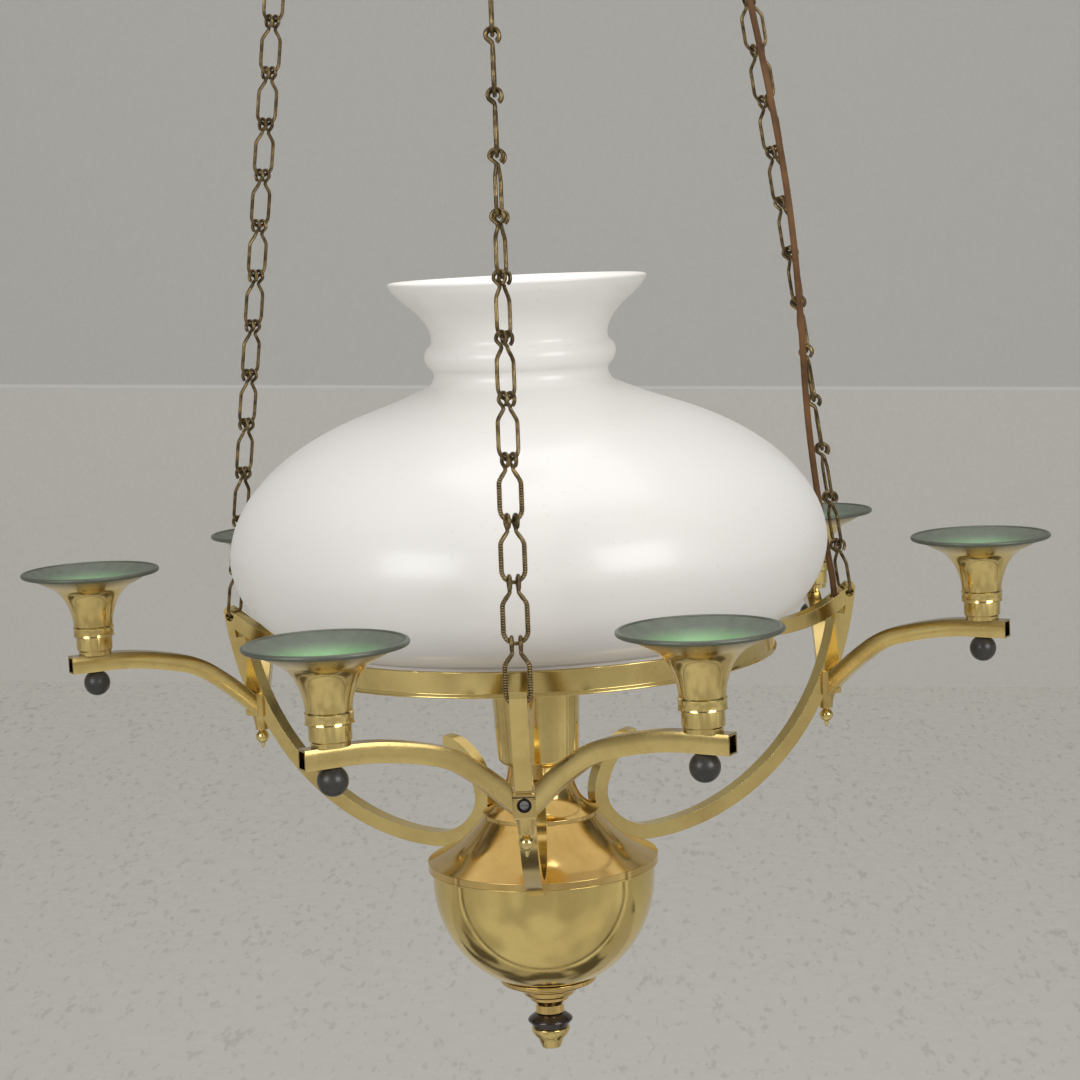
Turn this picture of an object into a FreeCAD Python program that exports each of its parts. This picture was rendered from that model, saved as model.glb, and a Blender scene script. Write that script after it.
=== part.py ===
"""Hanging lamp: an opal shade on a brass ring, three scroll arms with two candle cups each, a spun
bowl below, and three wire chains up to a bell-shaped crown that swings from a ceiling hook.

Millimetres, +Z up. The origin is the middle of the ceiling strap, on the ceiling. The front arm points to -Y.
"""

import FreeCAD, Part
import math
import os
import Sketcher

Vector = FreeCAD.Vector
Rotation = FreeCAD.Rotation
Placement = FreeCAD.Placement

SIZES = [
    ("rest_gap", 0.2, "gap between pieces that hang or rest on each other"),
    ("bore_gap", 0.1, "gap round a rod or screw in its hole"),
    ("pivot_gap", 0.3, "gap between the rings that swing on each other"),
    ("overrun", 6.0, "how far a cutting tool passes its face"),
    ("strap_length", 110.0, "ceiling strap"),
    ("strap_width", 20.0, "ceiling strap"),
    ("strap_thickness", 2.5, "ceiling strap"),
    ("strap_hole_spacing", 80.0, "between the two screw holes"),
    ("strap_hole_diameter", 4.5, "screw holes of the strap"),
    ("canopy_radius", 60.0, "outside, at the ceiling"),
    ("canopy_height", 48.0, "ceiling to the canopy's flat bottom"),
    ("canopy_wall", 0.9, "spun brass"),
    ("canopy_flat_radius", 33.0, "flat bottom of the canopy"),
    ("stem_diameter", 8.0, "threaded stem of the hook"),
    ("stem_length", 62.0, "ceiling to the end of the hook's stem"),
    ("stem_nut_width", 13.0, "across the corners of the stem's nut"),
    ("stem_nut_height", 5.0, "nut under the strap"),
    ("bushing_rise", 2.7, "canopy's bottom to the top of its lead bushing"),
    ("collar_radius", 11.0, "screwed collar under the canopy"),
    ("collar_height", 9.0, "screwed collar under the canopy"),
    ("hook_bend_radius", 10.0, "wire centre of the hook's bend"),
    ("hook_wire", 5.0, "diameter of the hook's wire"),
    ("hook_neck", 14.0, "end of the stem to the middle of the hook's bend"),
    ("terminal_length", 16.0, "terminal block under the strap"),
    ("terminal_width", 14.0, "terminal block under the strap"),
    ("terminal_height", 13.5, "terminal block under the strap"),
    ("pivot_ring_radius", 14.0, "wire centre of the ring between hook and crown"),
    ("pivot_ring_wire", 4.0, "wire diameter of that ring"),
    ("loop_radius", 9.0, "wire centre of the crown's loop"),
    ("loop_wire", 4.5, "wire diameter of the crown's loop"),
    ("loop_collar_radius", 7.0, "collar between the loop and the bell"),
    ("loop_collar_height", 12.0, "collar between the loop and the bell"),
    ("crown_radius", 97.0, "plate and rim of the crown"),
    ("bell_height", 62.0, "crown bell"),
    ("bell_wall", 1.0, "spun brass"),
    ("bell_flat_radius", 12.0, "flat top of the bell"),
    ("crown_plate_thickness", 2.5, "plate that carries the chains"),
    ("crown_nut_radius", 9.5, "domed nut under the plate"),
    ("crown_nut_height", 12.5, "domed nut under the plate"),
    ("crown_rod_end", 4.5, "how far the crown's rod goes into its nut"),
    ("eye_circle_radius", 90.0, "lamp axis to the middle of each chain eye"),
    ("eye_shank_diameter", 4.0, "screwed shank of a chain eye"),
    ("eye_shank_length", 9.0, "shank above the plate's underside"),
    ("eye_collar_height", 1.5, "gap between the plate and the eye's ring"),
    ("eye_collar_diameter", 8.0, "collar of a chain eye"),
    ("eye_nut_width", 8.0, "across the corners of an eye's nut"),
    ("eye_nut_height", 3.5, "nut of a chain eye"),
    ("link_pitch", 35.0, "one chain link to the next"),
    ("link_count", 30, "links in each chain"),
    ("link_wire", 2.4, "wire of a chain link"),
    ("link_width", 16.6, "outside width of a link"),
    ("link_neck_width", 7.6, "outside width of a link's neck"),
    ("link_hook_diameter", 10.5, "outside diameter of a link's hooks"),
    ("link_hook_drop", 0.35, "hooks' centre below the wire that they hang on"),
    ("link_hook_rise", 5.0, "height in which the neck reaches its hooks"),
    ("link_shoulder_height", 5.0, "height in which a link narrows to its neck"),
    ("link_neck_height", 0.5, "straight neck under the hooks"),
    ("tip_reach", 97.5, "outside of the shade ring out to an arm's tip"),
    ("tip_rise", 19.5, "tip above the middle of the ring"),
    ("bar_width", 10.4, "width of the arms' brass bar"),
    ("leg_depth", 10.0, "depth of the leg that reaches in to the ring"),
    ("post_depth", 7.0, "depth of the outer post"),
    ("post_bow_radius", 207.0, "bow of the post's outer face"),
    ("post_foot_setback", 17.4, "tip in to the outer edge of the post's foot"),
    ("post_foot_drop", 41.5, "post's foot below the middle of the ring"),
    ("chain_hole_setback", 5.5, "tip in to the hole for the chain"),
    ("chain_hole_rise", 13.0, "that hole above the middle of the ring"),
    ("chain_hole_diameter", 7.0, "hole for the chain's last link"),
    ("chain_hole_slack", 1.2, "last link's wire below the hole's centre"),
    ("lead_hole_setback", 15.0, "tip in to the lead's hole in the right leg"),
    ("lead_hole_rise", 3.0, "bottom of that hole above the middle of the ring"),
    ("ring_radius", 160.0, "outside of the shade ring"),
    ("ring_wall", 2.0, "band of the shade ring"),
    ("ring_bottom", 1.5, "ring's bottom below its middle"),
    ("ring_top", 14.7, "ring's top edge above its middle"),
    ("ring_ledge_width", 12.0, "ledge inside the band, which carries the glass"),
    ("ring_ledge_thickness", 2.5, "ledge inside the band"),
    ("ring_lip", 1.2, "lip that runs round the bottom of the band"),
    ("leg_end_setback", 11.0, "outside of the ring in to a leg's inner end"),
    ("ring_screw_diameter", 4.0, "screw that holds the ring to a leg"),
    ("ring_screw_head", 7.0, "head diameter of that screw"),
    ("ring_screw_head_height", 2.6, "head of that screw"),
    ("ring_screw_setback", 7.5, "outside of the ring in to that screw"),
    ("glass_wall", 3.0, "opal glass"),
    ("glass_foot_setback", 6.5, "outside of the ring in to the shade's foot"),
    ("glass_foot_top", 15.8, "top of the shade's foot above the ring's middle"),
    ("glass_overhang", 37.0, "widest part of the shade beyond the ring"),
    ("glass_widest", 70.0, "height of the widest part"),
    ("glass_shoulder", 181.3, "height where the body meets the neck"),
    ("glass_neck_radius", 57.5, "waists of the shade's neck"),
    ("glass_bead", 5.5, "how far the neck's bead stands out"),
    ("glass_neck_height", 65.6, "shoulder to the top rim"),
    ("glass_rim_radius", 85.2, "outside of the flared top rim"),
    ("scroll_centre", 83.5, "lamp axis to the scroll's lowest point"),
    ("scroll_bottom", 134.5, "bar centre at the scroll's lowest point"),
    ("scroll_bar_depth", 10.0, "depth of the scroll's bar"),
    ("curl_depth", 68.0, "lowest point up to the scroll's free end"),
    ("curl_reach", 39.0, "lowest point in to the scroll's innermost point"),
    ("block_setback", 7.6, "outer edge of the post's foot in to the middle of an arm block"),
    ("block_half_width", 6.8, "half the width of an arm block"),
    ("block_front", 8.6, "block's middle out to its front"),
    ("block_height", 16.5, "body of the block, from the post's foot down"),
    ("block_taper", 10.3, "round taper under the body"),
    ("block_foot_diameter", 9.4, "small end of the taper"),
    ("block_cove_radius", 26.0, "hollow curve of the taper"),
    ("block_hole_diameter", 8.6, "sunk hole in the block's front"),
    ("block_screw_head", 6.6, "head of the screw in that hole"),
    ("block_screw_diameter", 4.0, "that screw's shank"),
    ("block_screw_recess", 3.0, "depth of that hole"),
    ("block_screw_length", 12.0, "shank of that screw, which ends in the scroll's bar"),
    ("block_screw_head_height", 2.0, "head of that screw"),
    ("screw_slot", 1.0, "width and depth of a screw's slot"),
    ("finial_ball_diameter", 9.5, "small ball under a block"),
    ("finial_neck_height", 1.2, "neck over that ball"),
    ("finial_tip_height", 4.0, "point under that ball"),
    ("branch_width", 10.0, "width of a candle arm's tube"),
    ("branch_depth", 12.0, "depth of a candle arm's tube"),
    ("branch_wall", 1.2, "wall of a candle arm's tube"),
    ("branch_angle", 60.0, "candle arm's turn from its scroll arm"),
    ("branch_bow_length", 112.0, "length of the bowed part"),
    ("branch_drop", 49.0, "how far a candle arm falls from its cup to the block's face"),
    ("branch_level", 5.5, "tube centre below the ring's middle, at the cup"),
    ("branch_length", 138.0, "block's middle to the open end"),
    ("cup_reach", 120.0, "block's middle to the candle cup"),
    ("cup_height", 57.0, "candle cup without its bead"),
    ("cup_bore_radius", 11.2, "hole for a 22 mm candle"),
    ("cup_wall", 1.1, "spun brass"),
    ("cup_seat_rise", 2.6, "narrower foot of the cup's neck, which clears the stud's head"),
    ("cup_seat_step", 1.0, "slanting step from that foot out to the neck, where the candle stands"),
    ("cup_band_radius", 14.1, "band round the cup's neck"),
    ("cup_band_start", 12.4, "band above the cup's foot"),
    ("cup_band_height", 7.2, "band round the cup's neck"),
    ("cup_rim_radius", 45.8, "centre of the cup's rolled rim"),
    ("cup_bead", 3.0, "rolled rim"),
    ("stud_diameter", 4.0, "stud through cup, tube and ball nut"),
    ("stud_head", 9.0, "stud's head inside the cup"),
    ("stud_head_height", 2.0, "stud's head inside the cup"),
    ("ball_diameter", 18.0, "dark ball nut under a candle arm"),
    ("ball_flat", 0.9, "how much of the ball's top is flat"),
    ("rod_diameter", 6.0, "rod that holds bowl, base and socket together"),
    ("socket_radius", 29.8, "top of the socket cup"),
    ("socket_foot_radius", 27.2, "socket cup above its rounded foot"),
    ("socket_top", 20.0, "socket cup's top below the ring's middle"),
    ("socket_bottom", 75.5, "socket cup's floor below the ring's middle"),
    ("socket_wall", 1.0, "spun brass"),
    ("neck_radius", 20.5, "neck under the socket cup"),
    ("step_radius", 39.0, "step between the two shoulders"),
    ("step_drop", 110.5, "step below the ring's middle"),
    ("shoulder_wall", 1.2, "spun brass of both shoulders"),
    ("flange_radius", 77.3, "edge of the lower shoulder"),
    ("flange_top", 139.3, "edge's top below the ring's middle"),
    ("flange_bottom", 144.0, "edge's bottom below the ring's middle"),
    ("bowl_radius", 74.5, "outside of the bowl"),
    ("bowl_bottom", 222.0, "bowl's bottom below the ring's middle"),
    ("bowl_foot_radius", 31.9, "flat bottom of the bowl"),
    ("bowl_straight", 8.0, "straight wall under the bowl's edge"),
    ("bowl_wall", 1.2, "spun brass"),
    ("base_radius", 32.6, "collar under the bowl"),
    ("base_height", 25.5, "stepped base under the bowl"),
    ("base_neck_radius", 9.6, "neck over the black ring"),
    ("dark_ring_radius", 15.2, "black ring of the finial"),
    ("dark_ring_height", 10.0, "black ring of the finial"),
    ("tip_piece_radius", 13.1, "brass tip under the black ring"),
    ("tip_piece_height", 14.5, "brass tip under the black ring"),
    ("holder_radius", 19.0, "lamp holder"),
    ("holder_flange_radius", 25.0, "foot of the lamp holder"),
    ("holder_flange_height", 18.0, "foot of the lamp holder"),
    ("holder_chamfer", 4.5, "slant round the bottom of that foot"),
    ("holder_height", 61.0, "lamp holder"),
    ("holder_bore_radius", 13.7, "holder's screw shell"),
    ("holder_bore_depth", 29.0, "holder's screw shell"),
    ("bulb_cap_radius", 13.2, "bulb's screw cap"),
    ("bulb_cap_height", 27.0, "bulb's screw cap"),
    ("bulb_radius", 30.0, "bulb"),
    ("bulb_height", 78.0, "glass of the bulb"),
    ("lead_diameter", 4.8, "two-core lead"),
    ("lead_hole_diameter", 6.6, "hole for the lead"),
    ("crown_lead_hole_diameter", 9.6, "holes for the lead in the bell and the plate"),
    ("lead_top_reach", 25.0, "lamp axis to the lead beside the hook"),
    ("lead_meet_drop", 96.0, "ceiling to where the two stretches of lead meet"),
    ("lead_crown_in", 30.8, "lead's hole in the crown, inside the right eye"),
    ("lead_crown_aside", 10.5, "lead's hole in the crown, beside the right eye"),
]

ARMS = {"front": 270.0, "left": 150.0, "right": 30.0}
BRANCHES = {"front": ("left", "right"), "left": ("back", "front"), "right": ("front", "back")}
CHAIN_TWIST = {"front": 90.0, "left": -60.0, "right": -120.0}
TWISTED_SHARES = {"front": 0.3, "left": 0.95, "right": 0.4}
LEAD_ARM = "right"

CANOPY_SHARES = ((0.82, 0.66), (1.0, 0.16))
BELL_SHARES = ((0.42, 0.26), (0.7, 0.58), (0.985, 0.84))
BRANCH_SHARES = ((0.245, 0.045), (0.473, 0.153), (0.664, 0.353), (0.79, 0.571), (0.93, 0.857), (1.0, 1.0))
BLOCK_SHARES = ((0.9, 0.0), (0.9, 0.06), (1.0, 0.1), (1.0, 0.17), (0.95, 0.2), (0.95, 0.24), (1.0, 0.3),
                (1.0, 0.93), (0.95, 1.0))
LEG_SHARES = ((0.41, 0.02), (0.665, 0.21), (0.835, 0.57), (0.98, 1.0))
POST_TOP_SHARE = 0.82
GLASS_BODY_SHARES = ((0.9, 0.36), (0.604, 0.7), (0.313, 0.872))
GLASS_NECK_SHARES = ((0.0, 0.069), (0.31, 0.135), (1.0, 0.26), (0.45, 0.362))
GLASS_FLARE_SHARES = ((0.017, 0.428), (0.186, 0.656), (1.0, 1.0))
CURL_SHARES = ((0.897, 0.265), (1.0, 0.53), (0.59, 0.926), (0.256, 1.0))
CUP_FLARE_SHARES = ((0.03, 0.19), (0.1, 0.38), (0.22, 0.57), (0.47, 0.76), (1.0, 1.0))
SHOULDER_SHARES = ((0.347, 0.518), (0.796, 0.894), (1.0, 1.0))
UPPER_SHARES = ((0.26, 0.55), (1.0, 0.92))
BOWL_SHARES = ((0.66, 0.66), (0.0, 1.0))
BASE_SHARES = ((1.0, 0.1), (0.96, 0.14), (0.62, 0.17), (0.6, 0.26), (0.56, 0.3), (0.14, 0.52), (0.1, 0.62),
               (0.0, 0.8))
DARK_RING_SHARES = ((0.75, 0.25), (1.0, 0.5), (0.75, 0.75))
TIP_SHARES = ((0.72, 0.08), (1.0, 0.2), (0.96, 0.34), (0.58, 0.6), (0.52, 0.8))
BULB_SHARES = ((0.55, 0.2), (0.95, 0.5), (0.75, 0.87))
BULB_TOP_SHARE = 0.2

COLLAR_FOOT_SHARE = 0.6
COLLAR_EDGE_SHARE = 0.25
LOOP_SINK_SHARE = 0.25
STUD_DEPTH_SHARE = 0.33
RING_CHAMFER_SHARE = 0.25
CAP_TIP_SHARE = 0.33
CUT_REACH_SHARE = 3.0
DOME_SHARE = 1.2
SOCKET_FLOOR_SHARE = 0.78
SOCKET_BEND_SHARE = 0.2
GLASS_SHOULDER_SHARE = 1.052
TIP_POINT_SHARE = 0.5
TIP_NECK_SHARE = 0.6
FINIAL_RISE_SHARE = 0.9
FINIAL_COLLAR_SHARE = 0.55
FINIAL_NECK_SHARE = 0.436
FINIAL_POINT_SHARES = (0.2, 0.6)

# Directions, in degrees, in which turned outlines leave their first corner
GLASS_HEADING = 16.6
CUP_HEADING = 88.0
UPPER_HEADING = -84.0
SHOULDER_HEADING = -54.0
BULB_HEADING = 80.0

HALF_HOOK = 120.0
CEILING_HOOK_TURN = 215.0
LINK_HOOK_TURN = 236.0
RIGHT_ANGLE = 90.0
HALF_TURN = 180.0
FULL_TURN = 360.0
TOLERANCE = 1e-3

SUPPLY_ROUTE = [
    (242.5, 0.0, -1264.5),
    (242.5, 0.0, -1249.0),
    (236.8, -0.4, -1222.0),
    (229.5, -0.6, -1178.0),
    (220.6, -4.6, -1122.0),
    (214.6, -10.6, -1056.0),
    (208.1, -11.6, -980.0),
    (194.1, -11.2, -900.0),
    (176.2, -8.6, -815.0),
    (166.1, -10.9, -730.0),
    (151.7, -10.3, -645.0),
    (139.5, -11.1, -560.0),
    (124.7, -10.3, -475.0),
    (112.9, -11.0, -390.0),
    (98.7, -10.7, -305.0),
    (83.5, -10.8, -243.0),
]
CROWN_ROUTE = [
    (61.6, 23.7, -214.0),
    (52.9, 18.2, -190.0),
    (44.4, 11.9, -170.0),
    (34.0, 4.9, -160.0),
    (27.2, 1.2, -148.0),
    (25.2, 0.4, -133.0),
    (25.0, 0.0, -114.0),
    (25.0, 0.0, -96.0),
]
CANOPY_ROUTE = [
    (25.0, 0.0, -96.0),
    (25.0, 0.0, -84.0),
    (24.2, -0.8, -70.0),
    (25.0, 0.0, -56.0),
    (25.0, 0.0, -40.0),
    (25.5, 0.5, -28.0),
    (25.5, 0.5, -16.0),
]
INNER_ROUTE = [
    (149.0, 0.0, -6.5),
    (134.0, 0.0, -6.5),
    (110.0, 4.0, -11.5),
    (84.0, 5.0, -10.5),
    (62.0, 3.0, -2.0),
    (46.5, 1.6, 2.1),
    (34.9, 0.8, -0.8),
    (26.9, 0.2, -8.4),
    (23.6, 0.0, -18.0),
    (23.1, 0.2, -34.0),
    (23.4, 0.0, -44.5),
    (23.4, 0.0, -56.5),
]
ARC_SHARE = 0.45


class Measure:
    """A number together with the sheet expression that it comes from."""

    def __init__(self, text, value):
        self.text = text
        self.value = value

    def __add__(self, other):
        other = as_measure(other)
        return Measure(f"({self.text} + {other.text})", self.value + other.value)

    def __sub__(self, other):
        other = as_measure(other)
        return Measure(f"({self.text} - {other.text})", self.value - other.value)

    def __mul__(self, other):
        other = as_measure(other)
        return Measure(f"({self.text} * {other.text})", self.value * other.value)

    def __truediv__(self, other):
        other = as_measure(other)
        return Measure(f"({self.text} / {other.text})", self.value / other.value)

    def __neg__(self):
        return Measure(f"(0 - {self.text})", -self.value)

    def __radd__(self, other):
        return as_measure(other) + self

    def __rsub__(self, other):
        return as_measure(other) - self

    def __rmul__(self, other):
        return as_measure(other) * self

    def __float__(self):
        return float(self.value)


def as_measure(number):
    """Wraps a plain number, and leaves a Measure as it is."""
    if isinstance(number, Measure):
        return number
    return Measure(f"{number:.9g}", float(number))


def root(measure):
    """Square root of a Measure."""
    return Measure(f"sqrt({measure.text})", math.sqrt(measure.value))


ZERO = as_measure(0)


class Sizes:
    """The sheet's cells, read by alias as Measures."""

    def __init__(self, document):
        sheet = document.addObject("Spreadsheet::Sheet", "Sizes")
        for row, (alias, value, note) in enumerate(SIZES, start=1):
            sheet.set(f"A{row}", alias)
            sheet.set(f"B{row}", str(value))
            sheet.set(f"C{row}", note)
            sheet.setAlias(f"B{row}", alias)
        document.recompute()
        for alias, _, _ in SIZES:
            setattr(self, alias, Measure(f"Sizes.{alias}", float(getattr(sheet, alias))))


doc = FreeCAD.newDocument("CeilingLamp")
size = Sizes(doc)
parts = {}


def keep(node, thing):
    """Gives a sub-part its label and puts it on the list of files."""
    thing.Label = node
    parts[node] = thing
    return thing


def bind(thing, **values):
    """Binds properties to the sheet."""
    for name, value in values.items():
        thing.setExpression(name, as_measure(value).text)
    return thing


def place(thing, x=ZERO, y=ZERO, z=ZERO, turn=None):
    """Sets a Placement: a turn, and a position that follows the sheet."""
    x, y, z = as_measure(x), as_measure(y), as_measure(z)
    thing.Placement = Placement(Vector(float(x), float(y), float(z)), turn or Rotation())
    for axis, value in (("x", x), ("y", y), ("z", z)):
        thing.setExpression(f"Placement.Base.{axis}", value.text)
    return thing


def about_z(angle):
    return Rotation(Vector(0, 0, 1), angle)


def polar(distance, angle):
    """X and Y at a distance from the lamp's axis, as Measures."""
    distance = as_measure(distance)
    across, along = math.cos(math.radians(angle)), math.sin(math.radians(angle))
    return distance * across, distance * along


def corner(x, y, bend=None):
    """One corner of an outline. bend is the radius of the edge that arrives here: plus left, minus right."""
    return as_measure(x), as_measure(y), bend


def heading_of(start, end, bend):
    """Directions, in radians, in which an edge leaves its start and arrives at its end."""
    across = float(end[0]) - float(start[0])
    along = float(end[1]) - float(start[1])
    chord_angle = math.atan2(along, across)
    if bend is None:
        return chord_angle, chord_angle
    half = math.asin(min(1.0, math.hypot(across, along) / (2 * abs(float(bend)))))
    half = math.copysign(half, float(bend))
    return chord_angle - half, chord_angle + half


def flow(start, points, heading):
    """Corners from start through points as arcs, each tangent to the one before. heading is in degrees."""
    heading = math.radians(heading)
    corners = []
    here = start
    for x, y in points:
        x, y = as_measure(x), as_measure(y)
        across, along = x - here[0], y - here[1]
        chord_angle = math.atan2(float(along), float(across))
        turn = math.remainder(chord_angle - heading, 2 * math.pi)
        if abs(turn) < TOLERANCE:
            bend = None
        else:
            bend = root(across * across + along * along) / (2 * math.sin(turn))
        corners.append((x, y, bend))
        heading = chord_angle + turn
        here = (x, y)
    return corners


def shifted(path, distance):
    """A path moved to its left by a distance, each edge staying parallel."""
    distance = as_measure(distance)
    moved = []
    for index, (x, y, bend) in enumerate(path):
        arriving = leaving = None
        if index > 0:
            arriving = heading_of(path[index - 1], path[index], bend)[1]
        if index + 1 < len(path):
            leaving = heading_of(path[index], path[index + 1], path[index + 1][2])[0]
        if arriving is None:
            arriving = leaving
        if leaving is None:
            leaving = arriving
        half = math.remainder(leaving - arriving, 2 * math.pi) / 2
        middle = arriving + half
        reach = distance / math.cos(half)
        new_bend = None
        if bend is not None and index > 0:
            new_bend = bend - distance
        moved.append((x - reach * math.sin(middle), y + reach * math.cos(middle), new_bend))
    return moved


def backwards(path):
    """The same path from its end to its start. The first corner is reached by a straight edge."""
    turned = []
    bend = None
    for x, y, own_bend in reversed(path):
        turned.append((x, y, bend))
        bend = None if own_bend is None else -own_bend
    return turned


def wall(path, thickness):
    """Closed outline of a wall on the left of a path (on its right if the thickness is negative)."""
    return path + backwards(shifted(path, thickness))


def origin_plane(body, role):
    for feature in body.Origin.OriginFeatures:
        if feature.Role == role:
            return feature
    raise ValueError(f"{body.Name} has no {role}")


def arc_between(start, end, bend):
    """Arc geometry with the radius bend, and whether it runs from start to end."""
    across = float(end[0]) - float(start[0])
    along = float(end[1]) - float(start[1])
    chord = math.hypot(across, along)
    radius = abs(float(bend))
    rise = math.sqrt(max(0.0, radius * radius - chord * chord / 4))
    side = math.copysign(1.0, float(bend))
    centre = Vector(
        float(start[0]) + across / 2 - side * rise * along / chord,
        float(start[1]) + along / 2 + side * rise * across / chord,
        0,
    )
    first = math.atan2(float(start[1]) - centre.y, float(start[0]) - centre.x)
    last = math.atan2(float(end[1]) - centre.y, float(end[0]) - centre.x)
    forward = side > 0
    if not forward:
        first, last = last, first
    if last < first:
        last += 2 * math.pi
    return Part.ArcOfCircle(Part.Circle(centre, Vector(0, 0, 1), radius), first, last), forward


def draw(body, name, corners, role="XZ_Plane"):
    """Sketch of a closed outline, each corner and radius bound to the sheet."""
    sketch = body.newObject("Sketcher::SketchObject", name)
    sketch.AttachmentSupport = [(origin_plane(body, role), "")]
    sketch.MapMode = "FlatFace"
    edges = []
    ends = []
    count = len(corners)
    for index in range(count):
        start, end = corners[index], corners[(index + 1) % count]
        bend = end[2] if index + 1 < count else None
        if bend is None:
            first = Vector(float(start[0]), float(start[1]), 0)
            edges.append(Part.LineSegment(first, Vector(float(end[0]), float(end[1]), 0)))
            ends.append((1, 2))
        else:
            arc, forward = arc_between(start, end, bend)
            edges.append(arc)
            ends.append((1, 2) if forward else (2, 1))
    sketch.addGeometry(edges, False)
    limits = []
    bound = []
    for index in range(count):
        after = (index + 1) % count
        limits.append(Sketcher.Constraint("Coincident", index, ends[index][1], after, ends[after][0]))
        x, y, _ = corners[index]
        for kind, axis, value in (("DistanceX", -2, x), ("DistanceY", -1, y)):
            if abs(float(value)) < TOLERANCE / FULL_TURN:
                limits.append(Sketcher.Constraint("PointOnObject", index, ends[index][0], axis))
            else:
                limits.append(Sketcher.Constraint(kind, -1, 1, index, ends[index][0], float(value)))
                bound.append((len(limits) - 1, value))
        bend = corners[after][2] if after else None
        if bend is not None:
            radius = bend if float(bend) > 0 else -bend
            limits.append(Sketcher.Constraint("Radius", index, float(radius)))
            bound.append((len(limits) - 1, radius))
    sketch.addConstraint(limits)
    for number, value in bound:
        sketch.setExpression(f"Constraints[{number}]", value.text)
    return sketch


def new_body(name):
    return doc.addObject("PartDesign::Body", name)


def revolve(body, corners):
    """Adds a solid of revolution about Z."""
    sketch = draw(body, f"{body.Name}_profile", corners)
    turned = body.newObject("PartDesign::Revolution", f"{body.Name}_turned")
    turned.Profile = sketch
    turned.ReferenceAxis = (sketch, ["V_Axis"])
    turned.Angle = FULL_TURN
    sketch.Visibility = False
    return turned


def pad(body, name, corners, width, kind="Pad"):
    """Adds or cuts a prism of an XZ outline, centred on its plane."""
    sketch = draw(body, f"{name}_outline", corners)
    prism = body.newObject(f"PartDesign::{kind}", name)
    prism.Profile = sketch
    prism.SideType = "Symmetric"
    bind(prism, Length=width)
    return prism


def turned_body(name, corners):
    body = new_body(name)
    revolve(body, corners)
    return body


def cylinder(name, radius, height, x=ZERO, y=ZERO, z=ZERO, turn=None):
    """Round rod whose lower end, before its turn, is at the given place."""
    rod = doc.addObject("Part::Cylinder", name)
    bind(rod, Radius=radius, Height=height)
    return place(rod, x, y, z, turn)


def torus(name, radius, wire_radius, x=ZERO, y=ZERO, z=ZERO, turn=None):
    ring = doc.addObject("Part::Torus", name)
    bind(ring, Radius1=radius, Radius2=wire_radius)
    return place(ring, x, y, z, turn)


def box(name, length, width, height, x, y, z):
    block = doc.addObject("Part::Box", name)
    bind(block, Length=length, Width=width, Height=height)
    return place(block, x, y, z)


def prism(name, corner_diameter, height, x=ZERO, y=ZERO, z=ZERO, turn=None):
    """Hexagonal prism."""
    nut = doc.addObject("Part::Prism", name)
    nut.Polygon = 6
    bind(nut, Circumradius=corner_diameter / 2, Height=height)
    return place(nut, x, y, z, turn)


def fuse(name, shapes):
    whole = doc.addObject("Part::MultiFuse", name)
    whole.Shapes = shapes
    return whole


def cut(name, base, tools):
    left = doc.addObject("Part::Cut", name)
    left.Base = base
    left.Tool = tools[0] if len(tools) == 1 else fuse(f"{name}_tools", tools)
    return left


def group(node, members):
    together = doc.addObject("Part::Compound", node)
    together.Links = members
    return keep(node, together)


def feature(node, shape):
    """A sub-part whose shape is worked out here from the sheet's values."""
    thing = doc.addObject("Part::Feature", node)
    thing.Shape = shape
    thing.Placement = Placement()
    return keep(node, thing)


# Levels from the ceiling down
hook_centre = size.stem_length + size.hook_neck
hook_bottom = hook_centre + size.hook_bend_radius
pivot_ring_top = hook_bottom - size.hook_wire / 2 - size.pivot_ring_wire / 2 - size.pivot_gap
pivot_ring_centre = pivot_ring_top + size.pivot_ring_radius
pivot_ring_bottom = pivot_ring_centre + size.pivot_ring_radius
loop_top = pivot_ring_bottom - size.pivot_ring_wire / 2 - size.loop_wire / 2 - size.pivot_gap
loop_centre = loop_top + size.loop_radius
loop_bottom = loop_centre + size.loop_radius
bell_top = loop_bottom + size.loop_wire / 2 + size.loop_collar_height
plate_top = bell_top + size.bell_height
plate_bottom = plate_top + size.crown_plate_thickness
link_bend = (size.link_width - size.link_wire) / 2
eye_centre = plate_bottom + size.eye_collar_height + link_bend + size.link_wire / 2

# What stands out from the shade ring keeps its distance from it
tip_radius = size.ring_radius + size.tip_reach
post_foot_radius = tip_radius - size.post_foot_setback
chain_hole_radius = tip_radius - size.chain_hole_setback
lead_hole_radius = tip_radius - size.lead_hole_setback
leg_end_radius = size.ring_radius - size.leg_end_setback
ring_screw_radius = size.ring_radius - size.ring_screw_setback
glass_foot_radius = size.ring_radius - size.glass_foot_setback
glass_radius = size.ring_radius + size.glass_overhang

# The scroll's outer edge meets the middle of the arm block at the height of its screw
block_radius = post_foot_radius - size.block_setback
block_middle = size.post_foot_drop + size.block_height / 2
scroll_height = size.scroll_bottom + size.scroll_bar_depth / 2 - block_middle
scroll_spread = block_radius - size.scroll_centre
scroll_edge_radius = (scroll_spread * scroll_spread / scroll_height + scroll_height) / 2
scroll_radius = scroll_edge_radius - size.scroll_bar_depth / 2

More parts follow.
